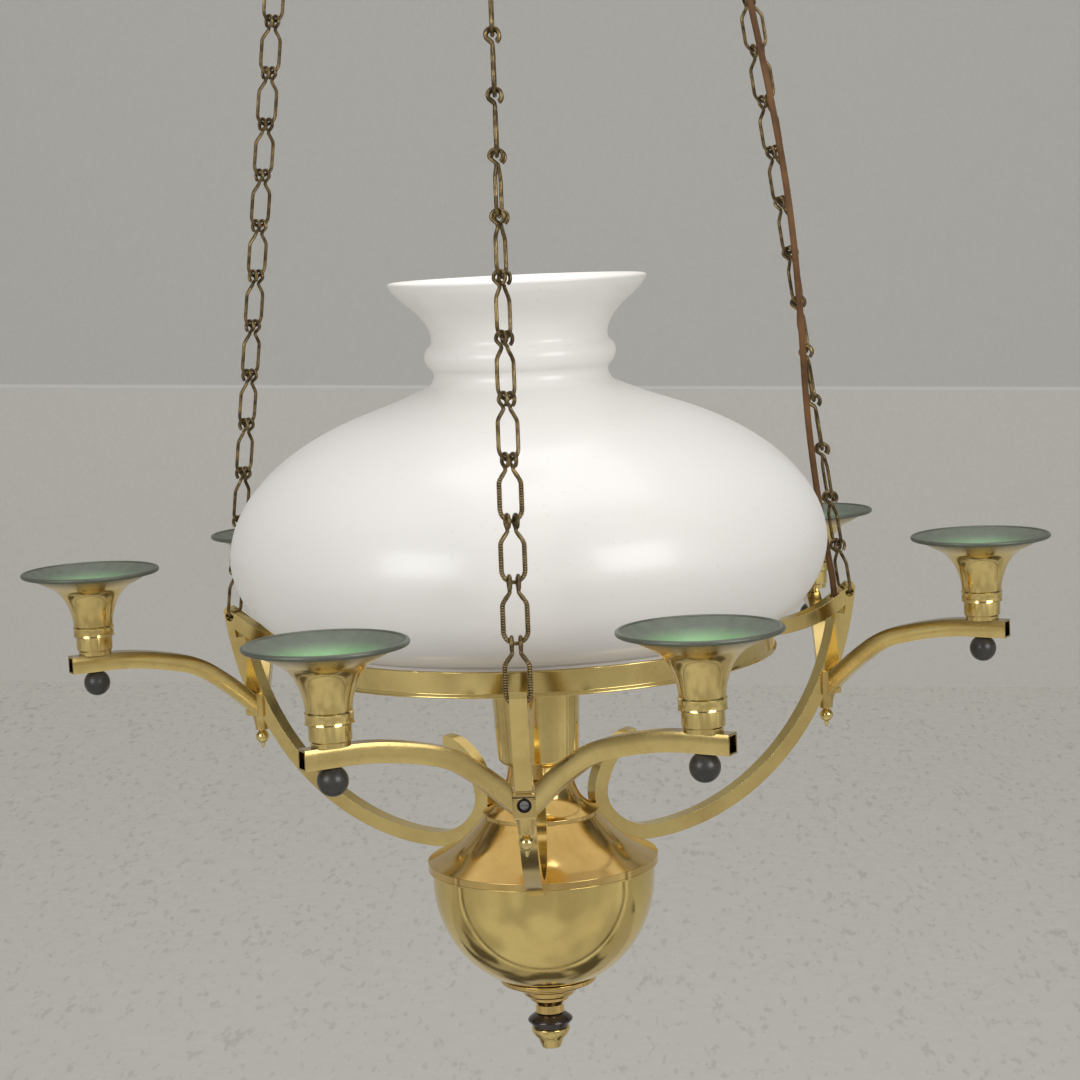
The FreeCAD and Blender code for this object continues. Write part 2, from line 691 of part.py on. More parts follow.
# The chain runs in a straight line from its eye down to the hole in the arm's tip
chain_length = size.link_pitch * size.link_count + link_bend
chain_spread = chain_hole_radius - size.eye_circle_radius
chain_fall = root(chain_length * chain_length - chain_spread * chain_spread)
last_wire = eye_centre + chain_fall
ring_middle = last_wire + size.chain_hole_rise - size.chain_hole_slack
lamp_level = -ring_middle
chain_lean = math.atan2(float(chain_spread), float(chain_fall))
DOWN_X = Rotation(Vector(0, 1, 0), RIGHT_ANGLE)
DOWN_Y = Rotation(Vector(1, 0, 0), RIGHT_ANGLE)


def make_ceiling_strap():
    """Steel strap with two screw holes and a threaded hole for the hook."""
    half = size.strap_length / 2
    bar = box("strap_bar", size.strap_length, size.strap_width, size.strap_thickness,
              -half, -size.strap_width / 2, -size.strap_thickness)
    deep = size.strap_thickness + size.overrun * 2
    low = -size.strap_thickness - size.overrun
    tools = [cylinder("strap_thread", size.stem_diameter / 2 + size.bore_gap, deep, z=low)]
    for side in (-1, 1):
        tools.append(cylinder(f"strap_hole_{side + 1}", size.strap_hole_diameter / 2, deep,
                              side * size.strap_hole_spacing / 2, ZERO, low))
    keep("ceiling_strap", cut("strap", bar, tools))


def make_canopy():
    """Spun cup that hides the strap, with its bushing for the lead."""
    bottom = -size.canopy_height
    start = corner(size.stem_diameter / 2 + size.rest_gap, bottom)
    flat = corner(size.canopy_flat_radius, bottom)
    points = [(size.canopy_radius * across, bottom * down) for across, down in CANOPY_SHARES]
    path = [start, flat] + flow(flat, points, 0) + [corner(size.canopy_radius, ZERO)]
    cup = turned_body("canopy_cup", wall(path, size.canopy_wall))
    hole = size.lead_diameter / 2 + size.canopy_wall * 2
    low = bottom - size.overrun
    tool = cylinder("canopy_lead_hole", hole, size.overrun * 2, size.lead_top_reach, ZERO, low)
    keep("canopy", cut("canopy_drilled", cup, [tool]))
    inside = (size.lead_hole_diameter + size.rest_gap) / 2
    bushing = turned_body("bushing", [
        corner(inside, bottom - size.canopy_wall * 2),
        corner(hole + size.canopy_wall * 2, bottom - size.canopy_wall * 2),
        corner(hole + size.canopy_wall * 2, bottom),
        corner(hole - size.bore_gap, bottom),
        corner(hole - size.bore_gap, bottom + size.bushing_rise),
        corner(inside, bottom + size.bushing_rise),
    ])
    keep("canopy_bushing", place(bushing, size.lead_top_reach))
    height = size.collar_height
    collar = turned_body("collar", [
        corner(size.stem_diameter / 2 + size.bore_gap, bottom - height),
        corner(size.collar_radius * COLLAR_FOOT_SHARE, bottom - height),
        corner(size.collar_radius, bottom - height * COLLAR_EDGE_SHARE, size.collar_radius),
        corner(size.collar_radius, bottom),
        corner(size.stem_diameter / 2 + size.bore_gap, bottom),
    ])
    keep("canopy_collar", collar)


def arc_edge(first, middle, last):
    return Part.Arc(first, middle, last).toShape()


def line_edge(first, last):
    return Part.LineSegment(first, last).toShape()


def pipe(edges, diameter):
    """Round wire of a diameter along connected edges."""
    path = Part.Wire(edges)
    start = path.Edges[0]
    at = start.valueAt(start.FirstParameter)
    along = start.tangentAt(start.FirstParameter)
    ring = Part.Wire([Part.Circle(at, along, diameter / 2).toShape()])
    return path.makePipeShell([ring], True, False)


def bend_in_plane(centre, radius, first_angle, last_angle, right, up):
    """Arc edge about a centre, in the plane of two unit vectors, between two angles in degrees."""
    spots = []
    for angle in (first_angle, (first_angle + last_angle) / 2, last_angle):
        turn = math.radians(angle)
        spots.append(centre + right * (radius * math.cos(turn)) + up * (radius * math.sin(turn)))
    return arc_edge(*spots)


def offset_bend(start, right, up, aside, rise):
    """Two equal arcs that carry a line rising along up to a parallel line, aside along right."""
    turn = 2 * math.atan2(abs(aside), rise)
    radius = rise / 2 / math.sin(turn)
    way = right * math.copysign(1.0, aside)
    edges = []
    first_centre = start + way * radius
    second_centre = start + way * (abs(aside) - radius) + up * rise
    degrees = math.degrees(turn)
    edges.append(bend_in_plane(first_centre, radius, 180, 180 - degrees, way, up))
    edges.append(bend_in_plane(second_centre, radius, -degrees, 0, way, up))
    return edges


def make_hook():
    """Threaded stem that ends in a bent wire hook, with its nut."""
    reach = float(size.hook_bend_radius)
    foot = Vector(0, 0, -float(size.stem_length))
    centre = Vector(0, 0, -float(hook_centre))
    across, down = Vector(1, 0, 0), Vector(0, 0, -1)
    edges = offset_bend(foot, across, down, reach, float(size.hook_neck))
    edges.append(bend_in_plane(centre, reach, 0, HALF_HOOK, across, down))
    edges.append(bend_in_plane(centre, reach, HALF_HOOK, CEILING_HOOK_TURN, across, down))
    bent = pipe(edges, float(size.hook_wire))
    top = float(size.rest_gap)
    stem = Part.makeCylinder(float(size.stem_diameter / 2), float(size.stem_length) - top,
                             Vector(0, 0, -float(size.stem_length)))
    feature("ceiling_hook", stem.fuse(bent).removeSplitter())
    nut = prism("stem_nut", size.stem_nut_width, size.stem_nut_height,
                z=-size.strap_thickness - size.stem_nut_height)
    hole = cylinder("stem_nut_hole", size.stem_diameter / 2 + size.bore_gap,
                    size.stem_nut_height + size.overrun * 2,
                    z=-size.strap_thickness - size.stem_nut_height - size.overrun)
    keep("hook_nut", cut("stem_nut_drilled", nut, [hole]))
    keep("terminal_block", box("terminal", size.terminal_length, size.terminal_width, size.terminal_height,
                               size.lead_top_reach - size.terminal_length / 2, -size.terminal_width / 2,
                               -size.strap_thickness - size.terminal_height))


def make_crown():
    """Ring, loop, bell, plate and nut that carry the three chains."""
    keep("suspension_ring", torus("pivot_ring", size.pivot_ring_radius, size.pivot_ring_wire / 2,
                                  z=-pivot_ring_centre, turn=DOWN_X))
    loop = torus("loop_ring", size.loop_radius, size.loop_wire / 2, z=-loop_centre, turn=DOWN_Y)
    collar_top = size.loop_collar_height + size.loop_wire * LOOP_SINK_SHARE
    collar = cylinder("loop_collar", size.loop_collar_radius, collar_top, z=-bell_top)
    rod_bottom = plate_bottom + size.crown_rod_end
    rod = cylinder("loop_rod", size.stem_diameter / 2, rod_bottom - bell_top, z=-rod_bottom)
    keep("crown_loop", fuse("loop_fused", [loop, collar, rod]))

    rod_hole = size.stem_diameter / 2 + size.rest_gap
    flat = corner(size.bell_flat_radius, -bell_top)
    points = [(size.crown_radius * across, -bell_top - size.bell_height * down)
              for across, down in BELL_SHARES]
    edge = points[-1][0]
    path = [corner(rod_hole, -bell_top), flat] + flow(flat, points, 0) + [corner(edge, -plate_top)]
    bell = turned_body("bell", wall(path, -size.bell_wall))
    lead_hole = size.crown_lead_hole_diameter / 2
    tool = cylinder("bell_lead_hole", lead_hole, size.bell_height / 2, size.lead_top_reach, ZERO,
                    -bell_top - size.bell_height / 2 + size.overrun)
    keep("crown_bell", cut("bell_drilled", bell, [tool]))

    disc = cylinder("plate_disc", size.crown_radius, size.crown_plate_thickness, z=-plate_bottom)
    low = -plate_bottom - size.overrun
    deep = size.crown_plate_thickness + size.overrun * 2
    tools = [cylinder("plate_rod_hole", rod_hole, deep, z=low)]
    eyes = []
    nuts = []
    for arm, angle in ARMS.items():
        eye, nut, spot = make_eye(arm, angle)
        eyes.append(eye)
        nuts.append(nut)
        tools.append(cylinder(f"plate_eye_hole_{arm}", size.eye_shank_diameter / 2 + size.bore_gap, deep,
                              spot[0], spot[1], low))
    x, y = lead_crown_spot()
    tools.append(cylinder("plate_lead_hole", lead_hole, deep, x, y, low))
    keep("crown_plate", cut("plate_drilled", disc, tools))
    group("crown_eyes", eyes)
    group("crown_eye_nuts", nuts)

    nut_wall = corner(size.crown_nut_radius, -plate_bottom - size.crown_nut_height / 2)
    bore_end = -plate_bottom - size.crown_rod_end - size.rest_gap
    nut = turned_body("plate_nut", [
        corner(size.stem_diameter / 2 + size.bore_gap, -plate_bottom),
        corner(size.stem_diameter / 2 + size.bore_gap, bore_end),
        corner(ZERO, bore_end),
        corner(ZERO, -plate_bottom - size.crown_nut_height),
        corner(nut_wall[0], nut_wall[1], size.crown_nut_radius * DOME_SHARE),
        corner(size.crown_nut_radius, -plate_bottom),
    ])
    keep("crown_nut", nut)


def lead_crown_spot():
    """Where the lead passes the crown's plate: inside the right chain's eye and in front of it."""
    angle = ARMS[LEAD_ARM]
    inward = polar(size.eye_circle_radius - size.lead_crown_in, angle)
    aside = polar(size.lead_crown_aside, angle - RIGHT_ANGLE)
    return inward[0] + aside[0], inward[1] + aside[1]


def chain_frame(arm, twist):
    """Unit vectors of a chain: across a link, through it, and up along the chain."""
    angle = math.radians(ARMS[arm])
    outward = Vector(math.cos(angle), math.sin(angle), 0)
    sideways = Vector(-math.sin(angle), math.cos(angle), 0)
    up = Vector(0, 0, math.cos(chain_lean)) - outward * math.sin(chain_lean)
    through = up.cross(sideways)
    turn = math.radians(twist)
    across = sideways * math.cos(turn) + through * math.sin(turn)
    return across, up.cross(across), up


def make_eye(arm, angle):
    """Ring on a screwed shank, in the plane of the chain's top link, and its nut."""
    across, through, up = chain_frame(arm, CHAIN_TWIST[arm])
    lean_in = link_bend * math.sin(chain_lean)
    x, y = polar(size.eye_circle_radius, angle)
    spot = polar(size.eye_circle_radius - lean_in, angle)
    turn = Rotation(across, up, through, "ZXY")
    ring = torus(f"eye_ring_{arm}", link_bend, size.link_wire / 2, x, y, -eye_centre, turn)
    shank_bottom = -eye_centre + link_bend * math.cos(chain_lean)
    shank_length = size.eye_shank_length - plate_bottom - shank_bottom
    shank = cylinder(f"eye_shank_{arm}", size.eye_shank_diameter / 2, shank_length,
                     spot[0], spot[1], shank_bottom)
    collar = cylinder(f"eye_collar_{arm}", size.eye_collar_diameter / 2, size.eye_collar_height,
                      spot[0], spot[1], -plate_bottom - size.eye_collar_height)
    eye = fuse(f"eye_{arm}", [ring, shank, collar])
    nut = prism(f"eye_nut_{arm}", size.eye_nut_width, size.eye_nut_height, spot[0], spot[1], -plate_top)
    hole = cylinder(f"eye_nut_hole_{arm}", size.eye_shank_diameter / 2 + size.bore_gap, size.overrun * 2,
                    spot[0], spot[1], -plate_top - size.overrun)
    return eye, cut(f"eye_nut_drilled_{arm}", nut, [hole]), spot


def link_shape():
    """One link: a round bottom, two sides, a narrow neck and two hooks that curl over the link above."""
    half = float(link_bend)
    neck = float(size.link_neck_width - size.link_wire) / 2
    hook = float(size.link_hook_diameter - size.link_wire) / 2
    hook_level = float(size.link_pitch - size.link_hook_drop)
    neck_top = hook_level - float(size.link_hook_rise)
    shoulder_top = neck_top - float(size.link_neck_height)
    shoulder_bottom = shoulder_top - float(size.link_shoulder_height)
    across, through, up = Vector(1, 0, 0), Vector(0, 1, 0), Vector(0, 0, 1)
    one_side = []
    for side in (1, -1):
        low = Vector(side * half, 0, half)
        shoulder = Vector(side * half, 0, shoulder_bottom)
        edges = [line_edge(low, shoulder)]
        edges += offset_bend(shoulder, across, up, -side * (half - neck), float(size.link_shoulder_height))
        edges.append(line_edge(Vector(side * neck, 0, shoulder_top), Vector(side * neck, 0, neck_top)))
        edges += offset_bend(Vector(side * neck, 0, neck_top), through, up, hook, float(size.link_hook_rise))
        centre = Vector(side * neck, 0, hook_level)
        edges.append(bend_in_plane(centre, hook, 0, HALF_HOOK, through, up))
        edges.append(bend_in_plane(centre, hook, HALF_HOOK, LINK_HOOK_TURN, through, up))
        one_side.append(edges)
    bottom = bend_in_plane(Vector(0, 0, half), half, 180, 360, across, up)
    path = list(reversed(one_side[1])) + [bottom] + one_side[0]
    return pipe(Part.Wire(Part.__sortEdges__(path)).Edges, float(size.link_wire))


def make_chains():
    link = link_shape()
    count = int(float(size.link_count))
    for arm, angle in ARMS.items():
        x, y = polar(chain_hole_radius, angle)
        foot = Vector(float(x), float(y), -float(last_wire))
        links = []
        for number in range(count):
            share = min(1.0, number / (TWISTED_SHARES[arm] * count))
            across, through, up = chain_frame(arm, CHAIN_TWIST[arm] * share)
            copy = link.copy()
            copy.Placement = Placement(foot + up * (float(size.link_pitch) * number),
                                       Rotation(across, through, up, "ZXY"))
            links.append(copy)
        feature(f"chain_{arm}", Part.makeCompound(links))


def leg_top_path():
    """Top of a leg from its inner end to the arm's tip."""
    bottom = -size.ring_bottom
    span = tip_radius - leg_end_radius
    seat = corner(size.ring_radius + size.ring_lip * 2, bottom)
    rise = size.tip_rise - bottom
    points = [(leg_end_radius + span * out, bottom + rise * high) for out, high in LEG_SHARES]
    return [corner(leg_end_radius, bottom), seat] + flow(seat, points, 0)


def make_bracket(arm, angle):
    """V of bar: a leg that reaches in to the ring and a post that goes down to the block."""
    body = new_body(f"bracket_bar_{arm}")
    pad(body, f"leg_{arm}", wall(leg_top_path(), -size.leg_depth), size.bar_width)
    foot = corner(post_foot_radius, -size.post_foot_drop, -size.post_bow_radius)
    tip = corner(tip_radius, size.tip_rise)
    post_top = corner(tip_radius, size.tip_rise * POST_TOP_SHARE)
    pad(body, f"post_{arm}", wall([post_top, foot], -size.post_depth), size.bar_width)
    beyond = tip_radius + size.leg_depth
    pad(body, f"bow_{arm}", [tip, foot, corner(beyond, -size.post_foot_drop), corner(beyond, size.tip_rise)],
        size.bar_width + size.overrun, "Pocket")
    x, y = polar(ZERO, angle)
    place(body, x, y, lamp_level, about_z(angle))
    half = size.bar_width / 2 + size.overrun
    hole_x, hole_y = polar(chain_hole_radius, angle)
    out_x, out_y = polar(half, angle + RIGHT_ANGLE)
    chain_hole_level = lamp_level + size.chain_hole_rise
    tools = [cylinder(f"chain_hole_{arm}", size.chain_hole_diameter / 2, half * 2,
                      hole_x + out_x, hole_y + out_y,
                      chain_hole_level, facing(angle - RIGHT_ANGLE))]
    if arm == LEAD_ARM:
        x, y = polar(lead_hole_radius, angle)
        tools.append(cylinder("leg_lead_hole", size.lead_hole_diameter / 2, size.tip_rise + size.overrun,
                              x, y, lamp_level + size.lead_hole_rise))
    x, y = polar(ring_screw_radius, angle)
    tools.append(cylinder(f"leg_screw_hole_{arm}", size.ring_screw_diameter / 2 + size.bore_gap,
                          size.leg_depth + size.overrun * 2, x, y,
                          lamp_level - size.ring_bottom - size.leg_depth - size.overrun))
    return keep(f"bracket_{arm}", cut(f"bracket_cut_{arm}", body, tools))


def facing(angle):
    """Turn that points +Z at a level direction."""
    turn = math.radians(angle)
    return Rotation(Vector(0, 0, 1), Vector(math.cos(turn), math.sin(turn), 0))


def outward_rod(name, radius, first, last, level, angle):
    """Cylinder that points straight out from the lamp's axis, between two distances from it."""
    x, y = polar(first, angle)
    return cylinder(name, radius, last - first, x, y, level, facing(angle))


def screw_level():
    return lamp_level - block_middle


def screw_span():
    """Where a block's screw starts, in the scroll's bar, and where its head sits, from the lamp's axis."""
    seat = block_radius + size.block_front - size.block_screw_recess
    return seat - size.block_screw_length, seat


def make_scroll(arm, angle, bracket, shoulder):
    """Scroll of square bar from the bracket down to the shoulder, ending in a curl."""
    body = new_body(f"scroll_bar_{arm}")
    centre_rise = scroll_radius - size.scroll_bottom
    start_level = -size.ring_bottom
    drop = centre_rise - start_level
    start = corner(size.scroll_centre + root(scroll_radius * scroll_radius - drop * drop), start_level)
    low = corner(size.scroll_centre, -size.scroll_bottom, -scroll_radius)
    points = [(size.scroll_centre - size.curl_reach * inward, -size.scroll_bottom + size.curl_depth * high)
              for inward, high in CURL_SHARES]
    path = [start, low] + flow(low, points, HALF_TURN)
    half = size.scroll_bar_depth / 2
    pad(body, f"scroll_{arm}", shifted(path, half) + backwards(shifted(path, -half)), size.bar_width)
    place(body, z=lamp_level, turn=about_z(angle))
    first, seat = screw_span()
    bore_radius = size.block_screw_diameter / 2 + size.bore_gap
    bore = outward_rod(f"scroll_bore_{arm}", bore_radius, first - size.rest_gap, seat, screw_level(), angle)
    keep(f"scroll_arm_{arm}", cut(f"scroll_cut_{arm}", body, [bracket, shoulder, bore]))


def scroll_edge(level):
    """Distance from the lamp's axis to the scroll's outer edge at a level."""
    drop = scroll_radius - size.scroll_bottom - level
    return size.scroll_centre + root(scroll_edge_radius * scroll_edge_radius - drop * drop)


def make_block_slot(arm, angle):
    """Tool that makes room for the scroll's bar at the back of a block."""
    top = -size.post_foot_drop + size.overrun
    bottom = -size.post_foot_drop - size.block_height - size.block_taper - size.overrun
    inward = block_radius - size.block_front - size.overrun * CUT_REACH_SHARE
    bend = -scroll_edge_radius
    body = new_body(f"block_slot_{arm}")
    outline = [corner(inward, top), corner(scroll_edge(top), top), corner(scroll_edge(bottom), bottom, bend)]
    pad(body, f"slot_{arm}", outline + [corner(inward, bottom)], size.bar_width)
    return place(body, z=lamp_level, turn=about_z(angle))


def make_block(arm, angle):
    """Block between the post, the scroll and the two candle arms, its screw and its small finial."""
    x, y = polar(block_radius, angle)
    top = -size.post_foot_drop
    bottom = top - size.block_height
    front = []
    back = []
    for out, down in BLOCK_SHARES:
        edge_level = top - size.block_height * down
        front.append(corner(size.block_front * out, edge_level))
        back.append(corner(-size.block_half_width * out, edge_level))
    body = new_body(f"block_body_{arm}")
    pad(body, f"block_side_{arm}", front + list(reversed(back)), size.block_half_width * 2)
    place(body, x, y, lamp_level, about_z(angle))
    taper = turned_body(f"block_taper_{arm}", [
        corner(ZERO, bottom),
        corner(size.block_half_width, bottom),
        corner(size.block_foot_diameter / 2, bottom - size.block_taper, size.block_cove_radius),
        corner(ZERO, bottom - size.block_taper),
    ])
    place(taper, x, y, lamp_level)
    block = fuse(f"block_{arm}", [body, taper])
    level = screw_level()
    first, seat = screw_span()
    face = block_radius + size.block_front
    beyond = face + size.overrun
    bore_radius = size.block_screw_diameter / 2 + size.bore_gap
    recess = outward_rod(f"block_recess_{arm}", size.block_hole_diameter / 2, seat, beyond, level, angle)
    bore = outward_rod(f"block_bore_{arm}", bore_radius, first, face, level, angle)
    keep(f"arm_block_{arm}", cut(f"block_cut_{arm}", block, [make_block_slot(arm, angle), recess, bore]))
    top_of_head = seat + size.block_screw_head_height
    head = outward_rod(f"block_head_{arm}", size.block_screw_head / 2, seat, top_of_head, level, angle)
    shank_radius = size.block_screw_diameter / 2
    shank = outward_rod(f"block_shank_{arm}", shank_radius, first, top_of_head, level, angle)
    slot = doc.addObject("Part::Box", f"screw_slot_{arm}")
    slot_length = size.block_screw_head + size.overrun
    bind(slot, Length=size.screw_slot * 2, Width=slot_length, Height=size.screw_slot)
    near_x, near_y = polar(top_of_head - size.screw_slot, angle)
    aside_x, aside_y = polar(slot_length / 2, angle - RIGHT_ANGLE)
    place(slot, near_x + aside_x, near_y + aside_y, level - size.screw_slot / 2, about_z(angle))
    screw = cut(f"block_screw_{arm}", fuse(f"block_screw_blank_{arm}", [head, shank]), [slot])

    top = bottom - size.block_taper
    ball = size.finial_ball_diameter / 2
    neck = size.finial_neck_height
    middle = top - neck - ball * FINIAL_RISE_SHARE
    finial = turned_body(f"small_finial_{arm}", [
        corner(ZERO, top),
        corner(ball * FINIAL_COLLAR_SHARE, top),
        corner(ball * FINIAL_NECK_SHARE, top - neck),
        corner(ball, middle, -ball),
        corner(ball * FINIAL_NECK_SHARE, middle - ball * FINIAL_RISE_SHARE, -ball),
        corner(ball * FINIAL_POINT_SHARES[0],
               middle - ball - size.finial_tip_height * FINIAL_POINT_SHARES[1]),
        corner(ZERO, middle - ball - size.finial_tip_height),
    ])
    place(finial, x, y, lamp_level)
    return screw, finial


def branch_name(arm, index):
    return f"{arm}_{BRANCHES[arm][index]}"


def branch_angle(arm, index):
    return ARMS[arm] + (2 * index - 1) * float(size.branch_angle)


def cup_spot(arm, index):
    """X and Y of a candle cup's axis."""
    block_x, block_y = polar(block_radius, ARMS[arm])
    out_x, out_y = polar(size.cup_reach, branch_angle(arm, index))
    return block_x + out_x, block_y + out_y


def branch_path():
    """Centre line of a candle arm from its open end in to the block's middle."""
    bow_start = corner(size.branch_bow_length, -size.branch_level)
    points = [(size.branch_bow_length * (1 - inward), -size.branch_level - size.branch_drop * down)
              for inward, down in BRANCH_SHARES]
    return [corner(size.branch_length, -size.branch_level), bow_start] + flow(bow_start, points, HALF_TURN)


def lengthened(path, extra):
    """The same path with its straight first edge made longer."""
    return [corner(path[0][0] + extra, path[0][1])] + path[1:]


def make_branch(arm, index):
    """Square tube that bows out from the block to a candle cup."""
    name = branch_name(arm, index)
    body = new_body(f"branch_{name}")
    path = branch_path()
    half = size.branch_depth / 2
    pad(body, f"tube_{name}", shifted(path, half) + backwards(shifted(path, -half)), size.branch_width)
    inner = half - size.branch_wall
    longer = lengthened(path, size.overrun)
    pad(body, f"hollow_{name}", shifted(longer, inner) + backwards(shifted(longer, -inner)),
        size.branch_width - size.branch_wall * 2, "Pocket")
    x, y = polar(block_radius, ARMS[arm])
    place(body, x, y, lamp_level, about_z(branch_angle(arm, index)))
    core = doc.addObject("Part::Box", f"tube_core_{name}")
    core_height = size.block_height + size.block_taper + size.overrun * 2
    bind(core, Length=size.branch_length, Width=size.block_half_width * 2, Height=core_height)
    near_x, near_y = polar(block_radius - size.branch_length / 2, ARMS[arm])
    aside_x, aside_y = polar(size.block_half_width, ARMS[arm] - RIGHT_ANGLE)
    place(core, near_x + aside_x, near_y + aside_y,
          lamp_level - size.post_foot_drop + size.overrun - core_height, about_z(ARMS[arm]))
    cup_x, cup_y = cup_spot(arm, index)
    hole_length = size.branch_depth + size.overrun * 2
    hole = cylinder(f"tube_hole_{name}", size.stud_diameter / 2 + size.bore_gap, hole_length,
                    cup_x, cup_y, lamp_level - size.branch_level - half - size.overrun)
    keep(f"candle_arm_{name}", cut(f"branch_cut_{name}", body, [core, hole]))


def make_cup(arm, index):
    """Candle cup with its banded neck and flared rim, its stud and its ball nut."""
    name = branch_name(arm, index)
    neck = size.cup_bore_radius + size.cup_wall
    band_end = size.cup_band_start + size.cup_band_height
    root_radius = neck + size.cup_wall
    flare_start = corner(root_radius, band_end + size.cup_wall)
    reach = size.cup_rim_radius - root_radius
    height = size.cup_height - band_end - size.cup_wall
    points = [(root_radius + reach * out, flare_start[1] + height * high) for out, high in CUP_FLARE_SHARES]
    path = [
        corner(size.stud_diameter / 2 + size.bore_gap, ZERO),
        corner(neck - size.cup_seat_step, ZERO),
        corner(neck - size.cup_seat_step, size.cup_seat_rise),
        corner(neck, size.cup_seat_rise + size.cup_seat_step),
        corner(neck, size.cup_band_start),
        corner(size.cup_band_radius, size.cup_band_start + size.cup_wall / 2),
        corner(size.cup_band_radius, band_end - size.cup_wall / 2),
        corner(root_radius, band_end + size.cup_wall / 2),
        flare_start,
    ] + flow(flare_start, points, CUP_HEADING)
    shell = turned_body(f"cup_{name}", wall(path, size.cup_wall))
    bead = torus(f"bead_{name}", size.cup_rim_radius, size.cup_bead / 2, z=size.cup_height)
    top = lamp_level - size.branch_level + size.branch_depth / 2
    x, y = cup_spot(arm, index)
    place(shell, x, y, top)
    place(bead, x, y, top + size.cup_height)
    keep(f"candle_cup_{name}", fuse(f"cup_fused_{name}", [shell, bead]))

    below = lamp_level - size.branch_level - size.branch_depth / 2
    ball_radius = size.ball_diameter / 2
    ball_centre = below - ball_radius + size.ball_flat
    stud_bottom = ball_centre - ball_radius * STUD_DEPTH_SHARE
    stud_top = top + size.cup_wall
    rod = cylinder(f"stud_rod_{name}", size.stud_diameter / 2, stud_top - stud_bottom, x, y, stud_bottom)
    head = cylinder(f"stud_head_{name}", size.stud_head / 2, size.stud_head_height, x, y, stud_top)
    stud = fuse(f"stud_{name}", [rod, head])
    bore = size.stud_diameter / 2 + size.bore_gap
    flat_rise = ball_radius - size.ball_flat
    flat_radius = root(ball_radius * ball_radius - flat_rise * flat_rise)
    bore_end = -ball_radius * STUD_DEPTH_SHARE - size.rest_gap
    ball = turned_body(f"ball_{name}", [
        corner(bore, ball_radius - size.ball_flat),
        corner(bore, bore_end),
        corner(ZERO, bore_end),
        corner(ZERO, -ball_radius),
        corner(ball_radius, ZERO, ball_radius),
        corner(flat_radius, ball_radius - size.ball_flat, ball_radius),
    ])
    place(ball, x, y, ball_centre)
    return stud, ball


def make_ring_and_glass():
    """Band that carries the opal shade, the shade, and the screws that hold the band to the legs."""
    inside = size.ring_radius - size.ring_wall
    ledge_inside = inside - size.ring_ledge_width
    ledge_top = -size.ring_bottom + size.ring_ledge_thickness
    edge = size.ring_wall * RING_CHAMFER_SHARE
    band = turned_body("band", [
        corner(ledge_inside, -size.ring_bottom),
        corner(size.ring_radius + size.ring_lip, -size.ring_bottom),
        corner(size.ring_radius + size.ring_lip, -size.ring_bottom + size.ring_lip),
        corner(size.ring_radius, ledge_top),
        corner(size.ring_radius, size.ring_top - edge),
        corner(size.ring_radius - edge, size.ring_top),
        corner(inside + edge, size.ring_top),
        corner(inside, size.ring_top - edge),
        corner(inside, ledge_top),
        corner(ledge_inside, ledge_top),
    ])
    place(band, z=lamp_level)
    holes = []
    screws = []
    for arm, angle in ARMS.items():
        x, y = polar(ring_screw_radius, angle)
        low = lamp_level - size.ring_bottom - size.leg_depth
        hole_bottom = low + size.leg_depth / 2
        hole_radius = size.ring_screw_diameter / 2 + size.bore_gap
        holes.append(cylinder(f"ring_hole_{arm}", hole_radius, size.leg_depth,
                              x, y, hole_bottom))
        rod = cylinder(f"ring_screw_rod_{arm}", size.ring_screw_diameter / 2,
                       size.leg_depth + size.ring_ledge_thickness, x, y, low)
        head = cylinder(f"ring_screw_head_{arm}", size.ring_screw_head / 2, size.ring_screw_head_height,
                        x, y,
                        low - size.ring_screw_head_height)
        screws.append(fuse(f"ring_screw_{arm}", [rod, head]))
    keep("shade_ring", cut("band_drilled", band, holes))
    group("ring_screws", screws)

    foot = corner(glass_foot_radius, ledge_top + size.rest_gap)
    foot_top = corner(glass_foot_radius, size.glass_foot_top)
    body_height = size.glass_shoulder - size.glass_widest
    points = [(glass_radius, size.glass_widest)]
    for out, high in GLASS_BODY_SHARES:
        points.append((size.glass_neck_radius + (glass_radius - size.glass_neck_radius) * out,
                       size.glass_widest + body_height * high))
    points.append((size.glass_neck_radius * GLASS_SHOULDER_SHARE, size.glass_shoulder))
    for bead, high in GLASS_NECK_SHARES:
        points.append((size.glass_neck_radius + size.glass_bead * bead,
                       size.glass_shoulder + size.glass_neck_height * high))
    flare = size.glass_rim_radius - size.glass_neck_radius
    for out, high in GLASS_FLARE_SHARES:
        points.append((size.glass_neck_radius + flare * out, size.glass_shoulder + size.glass_neck_height * high))
    path = [foot, foot_top] + flow(foot_top, points, GLASS_HEADING)
    shade = turned_body("shade", wall(path, size.glass_wall))
    keep("glass_shade", place(shade, z=lamp_level))


